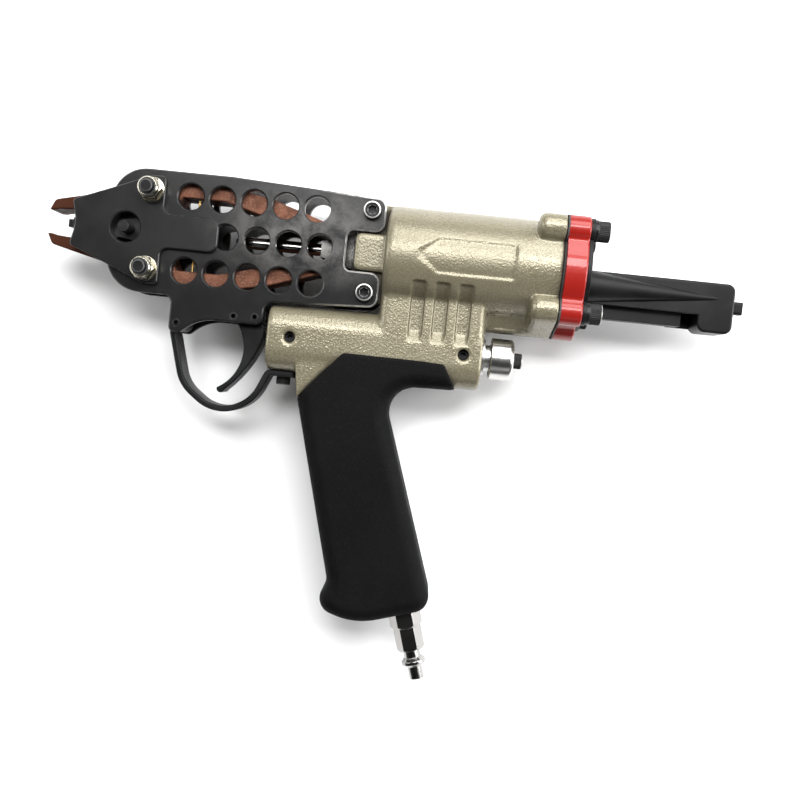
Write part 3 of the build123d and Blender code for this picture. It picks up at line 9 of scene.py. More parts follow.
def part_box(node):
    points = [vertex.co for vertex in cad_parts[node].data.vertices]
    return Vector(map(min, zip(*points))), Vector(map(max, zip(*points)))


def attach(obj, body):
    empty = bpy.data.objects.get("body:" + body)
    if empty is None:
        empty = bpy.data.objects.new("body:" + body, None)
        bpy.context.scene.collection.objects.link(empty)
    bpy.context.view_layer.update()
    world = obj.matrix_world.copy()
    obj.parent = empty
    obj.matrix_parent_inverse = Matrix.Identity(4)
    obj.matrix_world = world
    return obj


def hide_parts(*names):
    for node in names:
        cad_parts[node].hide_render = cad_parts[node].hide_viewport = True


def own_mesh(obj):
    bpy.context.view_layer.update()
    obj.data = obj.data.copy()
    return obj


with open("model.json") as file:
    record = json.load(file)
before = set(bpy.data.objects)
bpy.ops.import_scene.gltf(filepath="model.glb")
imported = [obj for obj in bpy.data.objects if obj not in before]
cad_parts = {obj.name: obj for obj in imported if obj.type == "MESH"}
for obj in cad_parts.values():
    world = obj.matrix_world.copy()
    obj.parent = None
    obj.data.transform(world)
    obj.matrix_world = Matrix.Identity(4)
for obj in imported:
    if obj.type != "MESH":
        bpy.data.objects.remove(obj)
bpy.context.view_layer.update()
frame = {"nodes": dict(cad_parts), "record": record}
nodes = frame["nodes"]
print("frame loaded,", len(nodes), "nodes")

millimetre = 0.001
mergeDistance = 0.00001
fullTurn = 2 * math.pi


# Node building

# sockets of a Mix node for each kind of data: first, second and result
mixSockets = {"FLOAT": (2, 3, 0), "RGBA": (6, 7, 2)}


def isSocket(value):
    return isinstance(value, bpy.types.NodeSocket)


def feed(tree, socket, value):
    if isSocket(value):
        tree.links.new(value, socket)
    else:
        socket.default_value = value


def addNode(tree, kind, values=None, **settings):
    node = tree.nodes.new(kind)
    for key, value in settings.items():
        setattr(node, key, value)
    for key, value in (values or {}).items():
        feed(tree, node.inputs[key], value)
    return node


def newGroup(name, kind, inputs, outputs):
    tree = bpy.data.node_groups.new(name, kind)
    for label, socketKind, value in inputs:
        socket = tree.interface.new_socket(
            label, in_out="INPUT", socket_type="NodeSocket" + socketKind)
        if value is not None:
            socket.default_value = value
    for label, socketKind in outputs:
        tree.interface.new_socket(label, in_out="OUTPUT", socket_type="NodeSocket" + socketKind)
    given = tree.nodes.new("NodeGroupInput")
    put = tree.nodes.new("NodeGroupOutput")
    return tree, given.outputs, put.inputs


def newEffect(name, inputs, outputs):
    # a shader group that takes numbers and places, and gives numbers
    rows = [(label, "Vector" if isinstance(value, tuple) else "Float", value)
            for label, value in inputs.items()]
    return newGroup(name, "ShaderNodeTree", rows, [(label, "Float") for label in outputs])


def mathNode(tree, operation, first, second=0.0):
    return addNode(tree, "ShaderNodeMath", {0: first, 1: second}, operation=operation).outputs[0]


def vectorNode(tree, operation, values):
    return addNode(tree, "ShaderNodeVectorMath", values, operation=operation)


def remap(tree, value, low, high, toLow=0.0, toHigh=1.0):
    sizes = {"Value": value, "From Min": low, "From Max": high, "To Min": toLow, "To Max": toHigh}
    return addNode(tree, "ShaderNodeMapRange", sizes, interpolation_type="SMOOTHSTEP").outputs[0]


def mixNode(tree, kind, mask, first, second):
    firstSocket, secondSocket, result = mixSockets[kind]
    values = {0: mask, firstSocket: first, secondSocket: second}
    return addNode(tree, "ShaderNodeMix", values, data_type=kind).outputs[result]


def blendValue(tree, mask, first, second):
    return mixNode(tree, "FLOAT", mask, first, second)


def blendColour(tree, mask, first, second):
    opaque = [colour if isSocket(colour) else (*colour, 1.0) for colour in (first, second)]
    return mixNode(tree, "RGBA", mask, *opaque)


def objectPlace(tree):
    return addNode(tree, "ShaderNodeTexCoord").outputs["Object"]


def lengthwise(tree):
    return addNode(tree, "ShaderNodeSeparateXYZ", {0: objectPlace(tree)}).outputs["X"]


def objectNoise(tree, scale, detail, roughness=0.5):
    values = {"Vector": objectPlace(tree), "Scale": scale, "Detail": detail, "Roughness": roughness}
    return addNode(tree, "ShaderNodeTexNoise", values).outputs


def occluded(tree, distance, **settings):
    shade = addNode(tree, "ShaderNodeAmbientOcclusion", {"Distance": distance},
                    samples=8, **settings)
    return mathNode(tree, "SUBTRACT", 1.0, shade.outputs["AO"])


def brokenUp(tree, mask, noise, amount, low, high):
    # the mask's edge wanders with the noise, which lies about a half
    offset = mathNode(tree, "SUBTRACT", noise["Fac"], 0.5)
    scatter = mathNode(tree, "MULTIPLY", offset, amount)
    return remap(tree, mathNode(tree, "ADD", mask, scatter), low, high)


# Effects that several finishes share

def makeEdgeWear():
    tree, given, put = newEffect("edgeWear", {
        "Width": 0.0006, "Break Scale": 160.0, "Start": 0.2, "Full": 0.5}, ["Mask"])
    bare = occluded(tree, given["Width"], inside=True, only_local=True)
    noise = objectNoise(tree, given["Break Scale"], detail=3.0)
    mask = brokenUp(tree, bare, noise, amount=0.6, low=given["Start"], high=given["Full"])
    tree.links.new(mask, put["Mask"])
    return tree


def makeCreviceShade():
    # painted shade: darker where other surfaces close in within the reach, in crevices, recesses and
    # between parts
    tree, given, put = newEffect("creviceDirt", {"Reach": 0.003, "Break Scale": 120.0}, ["Mask"])
    shut = occluded(tree, given["Reach"])
    noise = objectNoise(tree, given["Break Scale"], detail=4.0)
    mask = brokenUp(tree, shut, noise, amount=0.5, low=0.2, high=0.75)
    tree.links.new(mask, put["Mask"])
    return tree


def makeSoftPatches():
    tree, given, put = newEffect("softPatches", {"Scale": 30.0, "Low": 0.35, "High": 0.65}, ["Mask"])
    cloud = objectNoise(tree, given["Scale"], detail=5.0, roughness=0.6)
    tree.links.new(remap(tree, cloud["Fac"], given["Low"], given["High"]), put["Mask"])
    return tree


def makeFineGrain():
    speckFade = 0.1
    tree, given, put = newEffect("fineGrain", {"Scale": 1500.0, "Speck Share": 0.62},
                                 ["Height", "Specks"])
    fine = objectNoise(tree, given["Scale"], detail=3.0, roughness=0.55)
    top = mathNode(tree, "ADD", given["Speck Share"], speckFade)
    tree.links.new(fine["Fac"], put["Height"])
    tree.links.new(remap(tree, fine["Fac"], given["Speck Share"], top), put["Specks"])
    return tree


def makeHammeredPaint():
    wanderReach, cellShare, noiseShare = 0.0009, 0.7, 0.6
    tree, given, put = newEffect("hammeredPaint", {"Scale": 900.0}, ["Height", "Hollows"])
    wander = objectNoise(tree, given["Scale"], detail=2.0)
    shift = vectorNode(tree, "SCALE", {0: wander["Color"], "Scale": wanderReach})
    moved = vectorNode(tree, "ADD", {0: objectPlace(tree), 1: shift.outputs[0]})
    cells = addNode(tree, "ShaderNodeTexVoronoi", {
        "Vector": moved.outputs[0], "Scale": given["Scale"], "Smoothness": 0.7}, feature="SMOOTH_F1")
    height = mathNode(tree, "ADD",
                      mathNode(tree, "MULTIPLY", cells.outputs["Distance"], cellShare),
                      mathNode(tree, "MULTIPLY", wander["Fac"], noiseShare))
    tree.links.new(height, put["Height"])
    tree.links.new(remap(tree, height, low=0.42, high=0.80), put["Hollows"])
    return tree


def makeLengthFade():
    # 0 before the start and 1 after the full length, along the barrel
    tree, given, put = newEffect("lengthFade", {"Start": -0.17, "Full": -0.14}, ["Mask"])
    tree.links.new(remap(tree, lengthwise(tree), given["Start"], given["Full"]), put["Mask"])
    return tree


def makeSheenAndScuffSpot():
    # a lighter cloud round one place, longer along the barrel than across it: rubbed wear together with
    # a painted sheen where the plate would reflect the light above
    stretch = (0.75, 1.5, 0.0)
    tree, given, put = newEffect("rubbedSpot", {
        "Middle": (0.0, 0.0, 0.0), "Reach": 0.04, "Break Scale": 70.0}, ["Mask"])
    away = vectorNode(tree, "SUBTRACT", {0: objectPlace(tree), 1: given["Middle"]})
    flat = vectorNode(tree, "MULTIPLY", {0: away.outputs[0], 1: stretch})
    far = vectorNode(tree, "LENGTH", {0: flat.outputs[0]})
    share = mathNode(tree, "DIVIDE", far.outputs["Value"], given["Reach"])
    near = remap(tree, share, low=0.2, high=1.0, toLow=1.0, toHigh=0.0)
    noise = objectNoise(tree, given["Break Scale"], detail=6.0, roughness=0.7)
    patchy = remap(tree, noise["Fac"], low=0.34, high=0.66)
    tree.links.new(mathNode(tree, "MULTIPLY", near, patchy), put["Mask"])
    return tree


def makeBevelRims():
    # faces that lean between the plate's flat and its side, and those of them at its rear, which get a
    # painted highlight
    tree, given, put = newEffect("bevelRims", {
        "Break Scale": 220.0, "Rear Start": -0.045, "Rear Full": -0.012}, ["Mask", "Rubbed"])
    shape = addNode(tree, "ShaderNodeNewGeometry")
    parts = addNode(tree, "ShaderNodeSeparateXYZ", {0: shape.outputs["True Normal"]})
    lean = mathNode(tree, "ABSOLUTE", parts.outputs["Z"])
    above = remap(tree, lean, low=0.35, high=0.55)
    below = remap(tree, lean, low=0.82, high=0.94, toLow=1.0, toHigh=0.0)
    noise = objectNoise(tree, given["Break Scale"], detail=4.0)
    patchy = remap(tree, noise["Fac"], low=0.30, high=0.62, toLow=0.25, toHigh=1.0)
    mask = mathNode(tree, "MULTIPLY", mathNode(tree, "MULTIPLY", above, below), patchy)
    rearward = remap(tree, lengthwise(tree), given["Rear Start"], given["Rear Full"])
    tree.links.new(mask, put["Mask"])
    tree.links.new(mathNode(tree, "MULTIPLY", mask, rearward), put["Rubbed"])
    return tree


edgeWear = makeEdgeWear()
hammeredPaint = makeHammeredPaint()
lengthFade = makeLengthFade()
rubbedSpot = makeSheenAndScuffSpot()
bevelRims = makeBevelRims()
softPatches = makeSoftPatches()
fineGrain = makeFineGrain()
creviceDirt = makeCreviceShade()
print("shared effects made")


# Finishes, one dictionary for each

plainLook = {
    "metal": 0.0, "coat": 0.0, "coatRough": 0.1, "specular": 0.5,
    "speckShare": 0.62, "grainStrength": 0.5, "edgeSoft": 0.0003,
}
rimMetal = 0.8
wornMetal = 0.9
# roughness inside the painted crevice shade
creviceShadeRough = 0.8


def placeEffect(tree, effect, values=None):
    return addNode(tree, "ShaderNodeGroup", values, node_tree=effect).outputs


def makeFinish(name, ownLook):
    look = {**plainLook, **ownLook}
    material = bpy.data.materials.new(name)
    material.use_nodes = True
    tree = material.node_tree
    patches = placeEffect(tree, softPatches, {"Scale": look["patchScale"]})["Mask"]
    grain = placeEffect(tree, fineGrain, {
        "Scale": look["grainScale"], "Speck Share": look["speckShare"]})
    colour = blendColour(tree, patches, look["colour"], look["patchColour"])
    rough = blendValue(tree, patches, look["roughLow"], look["roughHigh"])
    metal = look["metal"]
    height = grain["Height"]
    if "speckColour" in look:
        colour = blendColour(tree, grain["Specks"], colour, look["speckColour"])
    if "tipColour" in look:
        tip = placeEffect(tree, lengthFade, {
            "Start": look["tipStart"], "Full": look["tipFull"]})["Mask"]
        colour = blendColour(tree, tip, look["tipColour"], colour)
    # painted sheen with rubbed wear: a lighter cloud on the plates round their middle row
    if "scuffColour" in look:
        sheenAndScuff = placeEffect(tree, rubbedSpot, {
            "Middle": look["scuffMiddle"], "Reach": look["scuffReach"]})["Mask"]
        colour = blendColour(tree, sheenAndScuff, colour, look["scuffColour"])
    if "hammerScale" in look:
        hammer = placeEffect(tree, hammeredPaint, {"Scale": look["hammerScale"]})
        height = hammer["Height"]
        colour = blendColour(tree, hammer["Hollows"], colour, look["hollowColour"])
    if "rimColour" in look:
        rims = placeEffect(tree, bevelRims)
        colour = blendColour(tree, rims["Mask"], colour, look["rimColour"])
        # painted highlight: the rear bevels of the plates are made bright in the colour itself
        colour = blendColour(tree, rims["Rubbed"], colour, look["rubbedColour"])
        rough = blendValue(tree, rims["Mask"], rough, look["rimRough"])
        metal = blendValue(tree, rims["Mask"], metal, rimMetal)
    if "shineColour" in look:
        shine = addNode(tree, "ShaderNodeAttribute", attribute_name="shine").outputs["Fac"]
        colour = blendColour(tree, shine, colour, look["shineColour"])
        metal = blendValue(tree, shine, metal, wornMetal)
    # painted shade in crevices: the colour darkens and turns rougher where the surface is occluded
    if "dirtColour" in look:
        paintedShade = placeEffect(tree, creviceDirt, {"Reach": look["dirtReach"]})["Mask"]
        colour = blendColour(tree, paintedShade, colour, look["dirtColour"])
        rough = blendValue(tree, paintedShade, rough, creviceShadeRough)
    if "wearColour" in look:
        wear = placeEffect(tree, edgeWear, {
            "Width": look["wearWidth"], "Start": look["wearStart"],
            "Full": look["wearFull"]})["Mask"]
        colour = blendColour(tree, wear, colour, look["wearColour"])
        rough = blendValue(tree, wear, rough, look["wearRough"])
        metal = blendValue(tree, wear, metal, wornMetal)
    soft = addNode(tree, "ShaderNodeBevel", {"Radius": look["edgeSoft"]}, samples=6)
    bump = addNode(tree, "ShaderNodeBump", {
        "Strength": look["grainStrength"], "Distance": look["grainDepth"],
        "Height": height, "Normal": soft.outputs[0]})
    shader = tree.nodes["Principled BSDF"]
    for label, value in {
        "Base Color": colour, "Roughness": rough, "Metallic": metal, "Coat Weight": look["coat"],
        "Coat Roughness": look["coatRough"], "Specular IOR Level": look["specular"],
        "Normal": bump.outputs[0],
    }.items():
        feed(tree, shader.inputs[label], value)
    return material


castingLook = {
    "colour": (0.215, 0.194, 0.132), "patchColour": (0.190, 0.171, 0.115), "patchScale": 18.0,
    "hammerScale": 1050.0, "hollowColour": (0.165, 0.147, 0.096),
    "roughLow": 0.24, "roughHigh": 0.32, "metal": 0.35, "specular": 0.6,
    "grainScale": 1100.0, "grainDepth": 0.00016, "grainStrength": 0.9,
    "dirtColour": (0.045, 0.038, 0.026), "dirtReach": 0.005, "edgeSoft": 0.0006,
}
plateLook = {
    "colour": (0.0092, 0.0092, 0.0096), "patchColour": (0.0114, 0.0111, 0.0110), "patchScale": 42.0,
    "scuffColour": (0.090, 0.087, 0.084), "scuffMiddle": (-0.041, 0.095, 0.041), "scuffReach": 0.046,
    "roughLow": 0.22, "roughHigh": 0.27, "metal": 0.05, "specular": 0.2,
    "grainScale": 2600.0, "grainDepth": 0.00005,
    "rimColour": (0.040, 0.040, 0.040), "rubbedColour": (0.62, 0.61, 0.60), "rimRough": 0.30,
}
jawLook = {
    "colour": (0.150, 0.061, 0.036), "patchColour": (0.100, 0.042, 0.026), "patchScale": 160.0,
    "tipColour": (0.044, 0.0125, 0.0045), "tipStart": -0.146, "tipFull": -0.116,
    "speckColour": (0.22, 0.115, 0.080), "speckShare": 0.56,
    "roughLow": 0.44, "roughHigh": 0.62, "metal": 0.25, "specular": 0.12,
    "grainScale": 1300.0, "grainDepth": 0.00022,
    "wearColour": (0.30, 0.17, 0.10), "wearWidth": 0.0006,
    "wearStart": 0.38, "wearFull": 0.70, "wearRough": 0.32,
}
zincLook = {
    "colour": (0.50, 0.48, 0.41), "patchColour": (0.42, 0.39, 0.30), "patchScale": 120.0,
    "roughLow": 0.15, "roughHigh": 0.26, "metal": 1.0,
    "grainScale": 2200.0, "grainDepth": 0.00002,
    "dirtColour": (0.10, 0.09, 0.07), "dirtReach": 0.0015,
}
screwLook = {
    "colour": (0.005, 0.005, 0.0055), "patchColour": (0.009, 0.009, 0.0095), "patchScale": 140.0,
    "roughLow": 0.28, "roughHigh": 0.40, "metal": 0.2, "specular": 0.3,
    "grainScale": 3000.0, "grainDepth": 0.00003,
    "wearColour": (0.12, 0.118, 0.115), "wearWidth": 0.0004,
    "wearStart": 0.40, "wearFull": 0.70, "wearRough": 0.3,
}
screwHeadLook = dict(screwLook, specular=0.12, metal=0.05, shineColour=(0.55, 0.54, 0.52))
steelLook = {
    "colour": (0.22, 0.214, 0.205), "patchColour": (0.15, 0.146, 0.14), "patchScale": 70.0,
    "roughLow": 0.26, "roughHigh": 0.40, "metal": 1.0,
    "grainScale": 2400.0, "grainDepth": 0.00003,
    "dirtColour": (0.03, 0.028, 0.025), "dirtReach": 0.008,
}
polishedLook = {
    "colour": (0.60, 0.595, 0.58), "patchColour": (0.53, 0.525, 0.51), "patchScale": 60.0,
    "roughLow": 0.07, "roughHigh": 0.14, "metal": 1.0,
    "grainScale": 1800.0, "grainDepth": 0.000008,
    "dirtColour": (0.12, 0.115, 0.11), "dirtReach": 0.0012, "edgeSoft": 0.0004,
}
cupLook = dict(polishedLook, colour=(0.72, 0.715, 0.70), roughLow=0.20, roughHigh=0.27)
plugLook = dict(
    polishedLook, colour=(0.43, 0.425, 0.415), patchColour=(0.41, 0.40, 0.385),
    roughLow=0.16, roughHigh=0.20)
stemLook = dict(polishedLook, roughLow=0.16, roughHigh=0.24)
rodLook = dict(polishedLook, colour=(0.34, 0.335, 0.33), patchColour=(0.26, 0.257, 0.25))
springSteelLook = {
    "colour": (0.34, 0.33, 0.32), "patchColour": (0.26, 0.25, 0.24), "patchScale": 150.0,
    "roughLow": 0.25, "roughHigh": 0.38, "metal": 1.0,
    "grainScale": 2600.0, "grainDepth": 0.00002,
}
springBrassLook = {
    "colour": (0.62, 0.42, 0.15), "patchColour": (0.50, 0.31, 0.10), "patchScale": 150.0,
    "roughLow": 0.22, "roughHigh": 0.34, "metal": 1.0,
    "grainScale": 2600.0, "grainDepth": 0.00002,
}
bronzeLook = {
    "colour": (0.52, 0.33, 0.14), "patchColour": (0.42, 0.25, 0.10), "patchScale": 90.0,
    "roughLow": 0.30, "roughHigh": 0.42, "metal": 1.0,
    "grainScale": 2200.0, "grainDepth": 0.00003,
}
aluminiumLook = {
    "colour": (0.62, 0.62, 0.61), "patchColour": (0.52, 0.52, 0.51), "patchScale": 80.0,
    "roughLow": 0.28, "roughHigh": 0.40, "metal": 1.0,
    "grainScale": 2200.0, "grainDepth": 0.00003,
}
capLook = {
    "colour": (0.26, 0.0105, 0.0065), "patchColour": (0.23, 0.0085, 0.0055), "patchScale": 40.0,
    "hammerScale": 520.0, "hollowColour": (0.24, 0.009, 0.006),
    "roughLow": 0.30, "roughHigh": 0.38, "metal": 0.1,
    "coat": 0.4, "coatRough": 0.04, "specular": 0.25,
    "grainScale": 1600.0, "grainDepth": 0.00012, "grainStrength": 0.6, "edgeSoft": 0.0006,
    "dirtColour": (0.05, 0.002, 0.003), "dirtReach": 0.002,
}
gasketLook = {
    "colour": (0.030, 0.029, 0.028), "patchColour": (0.042, 0.041, 0.040), "patchScale": 80.0,
    "roughLow": 0.7, "roughHigh": 0.85, "grainScale": 1800.0, "grainDepth": 0.00005,
}
satinLook = {
    "colour": (0.0035, 0.0035, 0.004), "patchColour": (0.0065, 0.0065, 0.007), "patchScale": 36.0,
    "roughLow": 0.34, "roughHigh": 0.46, "metal": 0.05, "specular": 0.18,
    "grainScale": 2200.0, "grainDepth": 0.00006, "edgeSoft": 0.0006,
    "wearColour": (0.07, 0.068, 0.066), "wearWidth": 0.0006,
    "wearStart": 0.42, "wearFull": 0.74, "wearRough": 0.35,
}
nylonLook = {
    "colour": (0.016, 0.016, 0.017), "patchColour": (0.024, 0.024, 0.025), "patchScale": 90.0,
    "roughLow": 0.45, "roughHigh": 0.6, "grainScale": 2000.0, "grainDepth": 0.00004,
}
gripLook = {
    "colour": (0.0022, 0.0022, 0.0024), "patchColour": (0.0036, 0.0036, 0.0038), "patchScale": 26.0,
    "speckColour": (0.011, 0.011, 0.0115), "speckShare": 0.60, "specular": 0.07,
    "roughLow": 0.60, "roughHigh": 0.74,
    "grainScale": 1700.0, "grainDepth": 0.00012, "grainStrength": 0.7,
}
sealLook = {
    "colour": (0.014, 0.014, 0.015), "patchColour": (0.021, 0.021, 0.022), "patchScale": 70.0,
    "roughLow": 0.45, "roughHigh": 0.6, "grainScale": 1500.0, "grainDepth": 0.00004,
}

finishes = {
    "casting_grey": makeFinish("hammeredGreyPaint", castingLook),
    "plate_black": makeFinish("blackOxidePlate", plateLook),
    "jaw_copper": makeFinish("copperBrownSteel", jawLook),
    "zinc": makeFinish("yellowZinc", zincLook),
    "screw_black": makeFinish("blackScrewSteel", screwLook),
    "steel": makeFinish("groundSteel", steelLook),
    "polished_steel": makeFinish("polishedSteel", polishedLook),
    "spring_steel": makeFinish("springWire", springSteelLook),
    "spring_brass": makeFinish("brassWire", springBrassLook),
    "bronze": makeFinish("bearingBronze", bronzeLook),
    "bare_aluminium": makeFinish("turnedAluminium", aluminiumLook),
    "cap_red": makeFinish("glossRed", capLook),
    "gasket_dark": makeFinish("gasketSheet", gasketLook),
    "satin_black": makeFinish("satinBlack", satinLook),
    "insert_nylon": makeFinish("nutNylon", nylonLook),
    "grip_rubber": makeFinish("gripRubber", gripLook),
    "seal_rubber": makeFinish("sealRubber", sealLook),
}
plugFinish = makeFinish("turnedPlug", plugLook)
nodeFinishes = {
    "exhaust_cup": makeFinish("satinCup", cupLook),
    "air_plug": plugFinish,
    "inlet_bushing": plugFinish,
    "valve_stem": makeFinish("brightStem", stemLook),
    "piston_rod": makeFinish("oiledRod", rodLook),
}
screwFinish = makeFinish("blackScrewHead", screwHeadLook)
slotOf = {part["node"]: part["material_slot"] for part in frame["record"]["subparts"]}
for nodeName, nodeObject in nodes.items():
    finish = nodeFinishes.get(nodeName, finishes[slotOf[nodeName]])
    nodeObject.material_slots[0].material = finish
print("finishes made:", len(finishes))


# Meshes from the frame

def mergedShape(nodeName):
    shape = bmesh.new()
    shape.from_mesh(nodes[nodeName].data)
    bmesh.ops.remove_doubles(shape, verts=shape.verts, dist=mergeDistance)
    return shape


def addObject(name, data):
    thing = bpy.data.objects.new(name, data)
    bpy.context.scene.collection.objects.link(thing)
    return thing


def evenCopy(nodeName, name, voxel):
    # a merged copy of the node, which a modifier covers with even faces
    mesh = bpy.data.meshes.new(name)
    shape = mergedShape(nodeName)
    shape.to_mesh(mesh)
    shape.free()
    piece = addObject(name, mesh)
    remesh = piece.modifiers.new("even mesh", "REMESH")
    remesh.mode = "VOXEL"
    remesh.voxel_size = voxel
    remesh.use_smooth_shade = True
    return piece


def settle(piece):
    # the evaluated shape becomes a plain mesh and the modifiers go
    seen = piece.evaluated_get(bpy.context.evaluated_depsgraph_get())
    mesh = bpy.data.meshes.new_from_object(seen)
    piece.modifiers.clear()
    piece.data = mesh
    return piece


def finishPiece(piece, nodeName, body):
    slotName = slotOf[nodeName]
    if not piece.data.materials:
        piece.data.materials.append(finishes[slotName])
    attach(piece, body)
    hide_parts(nodeName)


def growPiece(nodeName, tree, mesh, values):
    # the node group with its named inputs makes the shape, which is then kept as a plain mesh
    name = nodeName.title().replace("_", "")
    piece = addObject(name, mesh)
    grower = piece.modifiers.new(name, "NODES")
    grower.node_group = tree
    sockets = {item.name: item.identifier
               for item in tree.interface.items_tree if item.in_out == "INPUT"}
    for label, value in values.items():
        grower[sockets[label]] = value
    return settle(piece)


# Cap screws: one turned screw for each size, set on the seats of its node

capScrews = {
    "rear_cap_screws": {"outward": (1, 0, 0), "head": 6.0, "shank": 3.0, "socket": 5.0, "ridges": 36},
    "side_plate_screws": {"outward": (0, 0, 1), "head": 4.0, "shank": 2.5, "socket": 4.0, "ridges": 36},
    "jaw_pivot_bolts": {"outward": (0, 0, -1), "head": 6.0, "shank": 3.0, "socket": 5.0, "ridges": 36},
    "guard_screw": {"outward": (0, -1, 0), "head": 4.2, "shank": 2.0, "socket": 3.0, "ridges": 30},
    "exhaust_screw": {"outward": (1, 0, 0), "head": 4.4, "shank": 2.0, "socket": 3.0, "ridges": 30},
}
ridgeDepth = 0.22 * millimetre
screwStep = 0.1 * millimetre
socketRim = 0.60
sharpAngle = math.radians(28.0)
screwSeed = 7


def islandBoxes(nodeName):
    # the corners of each loose part of the node
    shape = mergedShape(nodeName)
    waiting = set(shape.verts)
    boxes = []
    for first in shape.verts:
        if first not in waiting:
            continue
        waiting.remove(first)
        stack = [first]
        found = []
        while stack:
            vertex = stack.pop()
            found.append(vertex.co.copy())
            for edge in vertex.link_edges:
                other = edge.other_vert(vertex)
                if other in waiting:
                    waiting.remove(other)
                    stack.append(other)
        boxes.append([Vector([pick(spot[i] for spot in found) for i in range(3)])
                      for pick in (min, max)])
    shape.free()
    return boxes


def screwRings(screw, headRadius, length):
    # form, radius, height and shine, from the end of the shank to the floor of the socket
    head, shank, across = (screw[key] * millimetre for key in ("head", "shank", "socket"))
    end = head - length
    half = across / 2
    step = screwStep
    return [
        ("round", shank - 6 * step, end, 0.0),
        ("round", shank - 4 * step, end, 0.10),
        ("round", shank, end + 4 * step, 0.14),
        ("round", shank, end + 6 * step, 0.0),
        ("round", shank, 0.0, 0.0),
        ("round", headRadius - 2 * step, 0.0, 0.05),
        ("round", headRadius, 2 * step, 0.1),
        ("round", headRadius, 5 * step, 0.0),
        ("ridged", headRadius, 7 * step, 0.02),
        ("ridged", headRadius, head - 9 * step, 0.02),
        ("round", headRadius, head - 7 * step, 0.02),
        ("round", headRadius, head - 5 * step, 0.1),
        ("round", headRadius - 2 * step, head - step, 1.0),
        ("round", headRadius - 6 * step, head, 0.9),
        ("round", headRadius - 8 * step, head, 0.0),
        ("round", across * socketRim, head, 0.0),
        ("hexagonal", half + step, head - step, 0.45),
        ("hexagonal", half, head - 3 * step, 0.1),
        ("hexagonal", half, head / 2 + step, 0.0),
        ("round", half - 4 * step, head / 2, 0.0),
    ]


def ringReach(form, radius, step, angle):
    if form == "ridged":
        return radius - ridgeDepth * (step % 2)
    if form == "hexagonal":
        return radius / math.cos((angle % (math.pi / 3)) - math.pi / 6)
    return radius


def turnedScrew(name, screw, headRadius, length):
    count = 2 * screw["ridges"]
    shape = bmesh.new()
    shineLayer = shape.verts.layers.float.new("shine")
    rows = []
    for form, radius, height, shine in screwRings(screw, headRadius, length):
        row = []
        for step in range(count):
            angle = fullTurn * step / count
            reach = ringReach(form, radius, step, angle)
            vertex = shape.verts.new((reach * math.cos(angle), reach * math.sin(angle), height))
            vertex[shineLayer] = shine
            row.append(vertex)
        rows.append(row)
    for low, high in zip(rows, rows[1:]):
        for step in range(count):
            after = (step + 1) % count
            shape.faces.new((low[step], low[after], high[after], high[step]))
    shape.faces.new(list(reversed(rows[0])))
    shape.faces.new(rows[-1])
    bmesh.ops.recalc_face_normals(shape, faces=shape.faces)
    mesh = bpy.data.meshes.new(name)
    shape.to_mesh(mesh)
    shape.free()
    for face in mesh.polygons:
        face.use_smooth = True
    mesh.set_sharp_from_angle(angle=sharpAngle)
    return addObject(name, mesh)


def makeScrewSetter():
    tree, given, put = newGroup("screwSetter", "GeometryNodeTree", [
        ("Seats", "Geometry", None),
        ("Screw", "Object", None),
        ("Spin Seed", "Int", 0),
        ("Finish", "Material", None),
    ], [("Screws", "Geometry")])
    outward = addNode(tree, "GeometryNodeInputNamedAttribute", {"Name": "outward"},
                      data_type="FLOAT_VECTOR")
    aimed = addNode(tree, "FunctionNodeAlignRotationToVector", {
        "Vector": outward.outputs["Attribute"]}, axis="Z")
    # sockets 2 and 3 hold the least and the most of a float, and output 1 gives it
    spin = addNode(tree, "FunctionNodeRandomValue", {
        2: 0.0, 3: fullTurn, "Seed": given["Spin Seed"]}, data_type="FLOAT")
    twist = addNode(tree, "FunctionNodeAxisAngleToRotation", {
        "Axis": (0, 0, 1), "Angle": spin.outputs[1]})
    turned = addNode(tree, "FunctionNodeRotateRotation", {
        "Rotation": aimed.outputs[0], "Rotate By": twist.outputs[0]}, rotation_space="LOCAL")
    screw = addNode(tree, "GeometryNodeObjectInfo", {"Object": given["Screw"], "As Instance": True})
    placed = addNode(tree, "GeometryNodeInstanceOnPoints", {
        "Points": given["Seats"], "Instance": screw.outputs["Geometry"],
        "Rotation": turned.outputs[0]})
    real = addNode(tree, "GeometryNodeRealizeInstances", {"Geometry": placed.outputs[0]})
    painted = addNode(tree, "GeometryNodeSetMaterial", {
        "Geometry": real.outputs[0], "Material": given["Finish"]})
    tree.links.new(painted.outputs[0], put["Screws"])
    return tree


screwSetter = makeScrewSetter()


def makeCapScrews(nodeName):
    screw = capScrews[nodeName]
    along = Vector(screw["outward"])
    boxes = islandBoxes(nodeName)
    middle = sum(((low.z + high.z) / 2 for low, high in boxes), 0.0) / len(boxes)
    axis = max(range(3), key=lambda i: abs(along[i]))
    seats = []
    ways = []
    for low, high in boxes:
        way = along.copy()
        # the plate screws of the far side look the other way
        if nodeName == "side_plate_screws" and (low.z + high.z) / 2 < middle:
            way = -way
        seat = (low + high) / 2
        end = high[axis] if way[axis] > 0 else low[axis]
        seat[axis] = end - way[axis] * screw["head"] * millimetre
        seats.append(seat)
        ways.append(way)
    low, high = boxes[0]
    headRadius = (high[axis - 1] - low[axis - 1]) / 2
    source = turnedScrew(nodeName + "Turned", screw, headRadius, high[axis] - low[axis])
    mesh = bpy.data.meshes.new(nodeName + "Seats")
    mesh.from_pydata(seats, [], [])
    outward = mesh.attributes.new("outward", "FLOAT_VECTOR", "POINT")
    for item, way in zip(outward.data, ways):
        item.vector = way
    piece = growPiece(nodeName, screwSetter, mesh, {
        "Screw": source, "Spin Seed": screwSeed, "Finish": screwFinish})
    bpy.data.objects.remove(source)
    finishPiece(piece, nodeName, "housing")


for nodeName in capScrews:
    makeCapScrews(nodeName)
print("cap screws set:", len(capScrews), "sizes")


# Wire springs, wound along the barrel

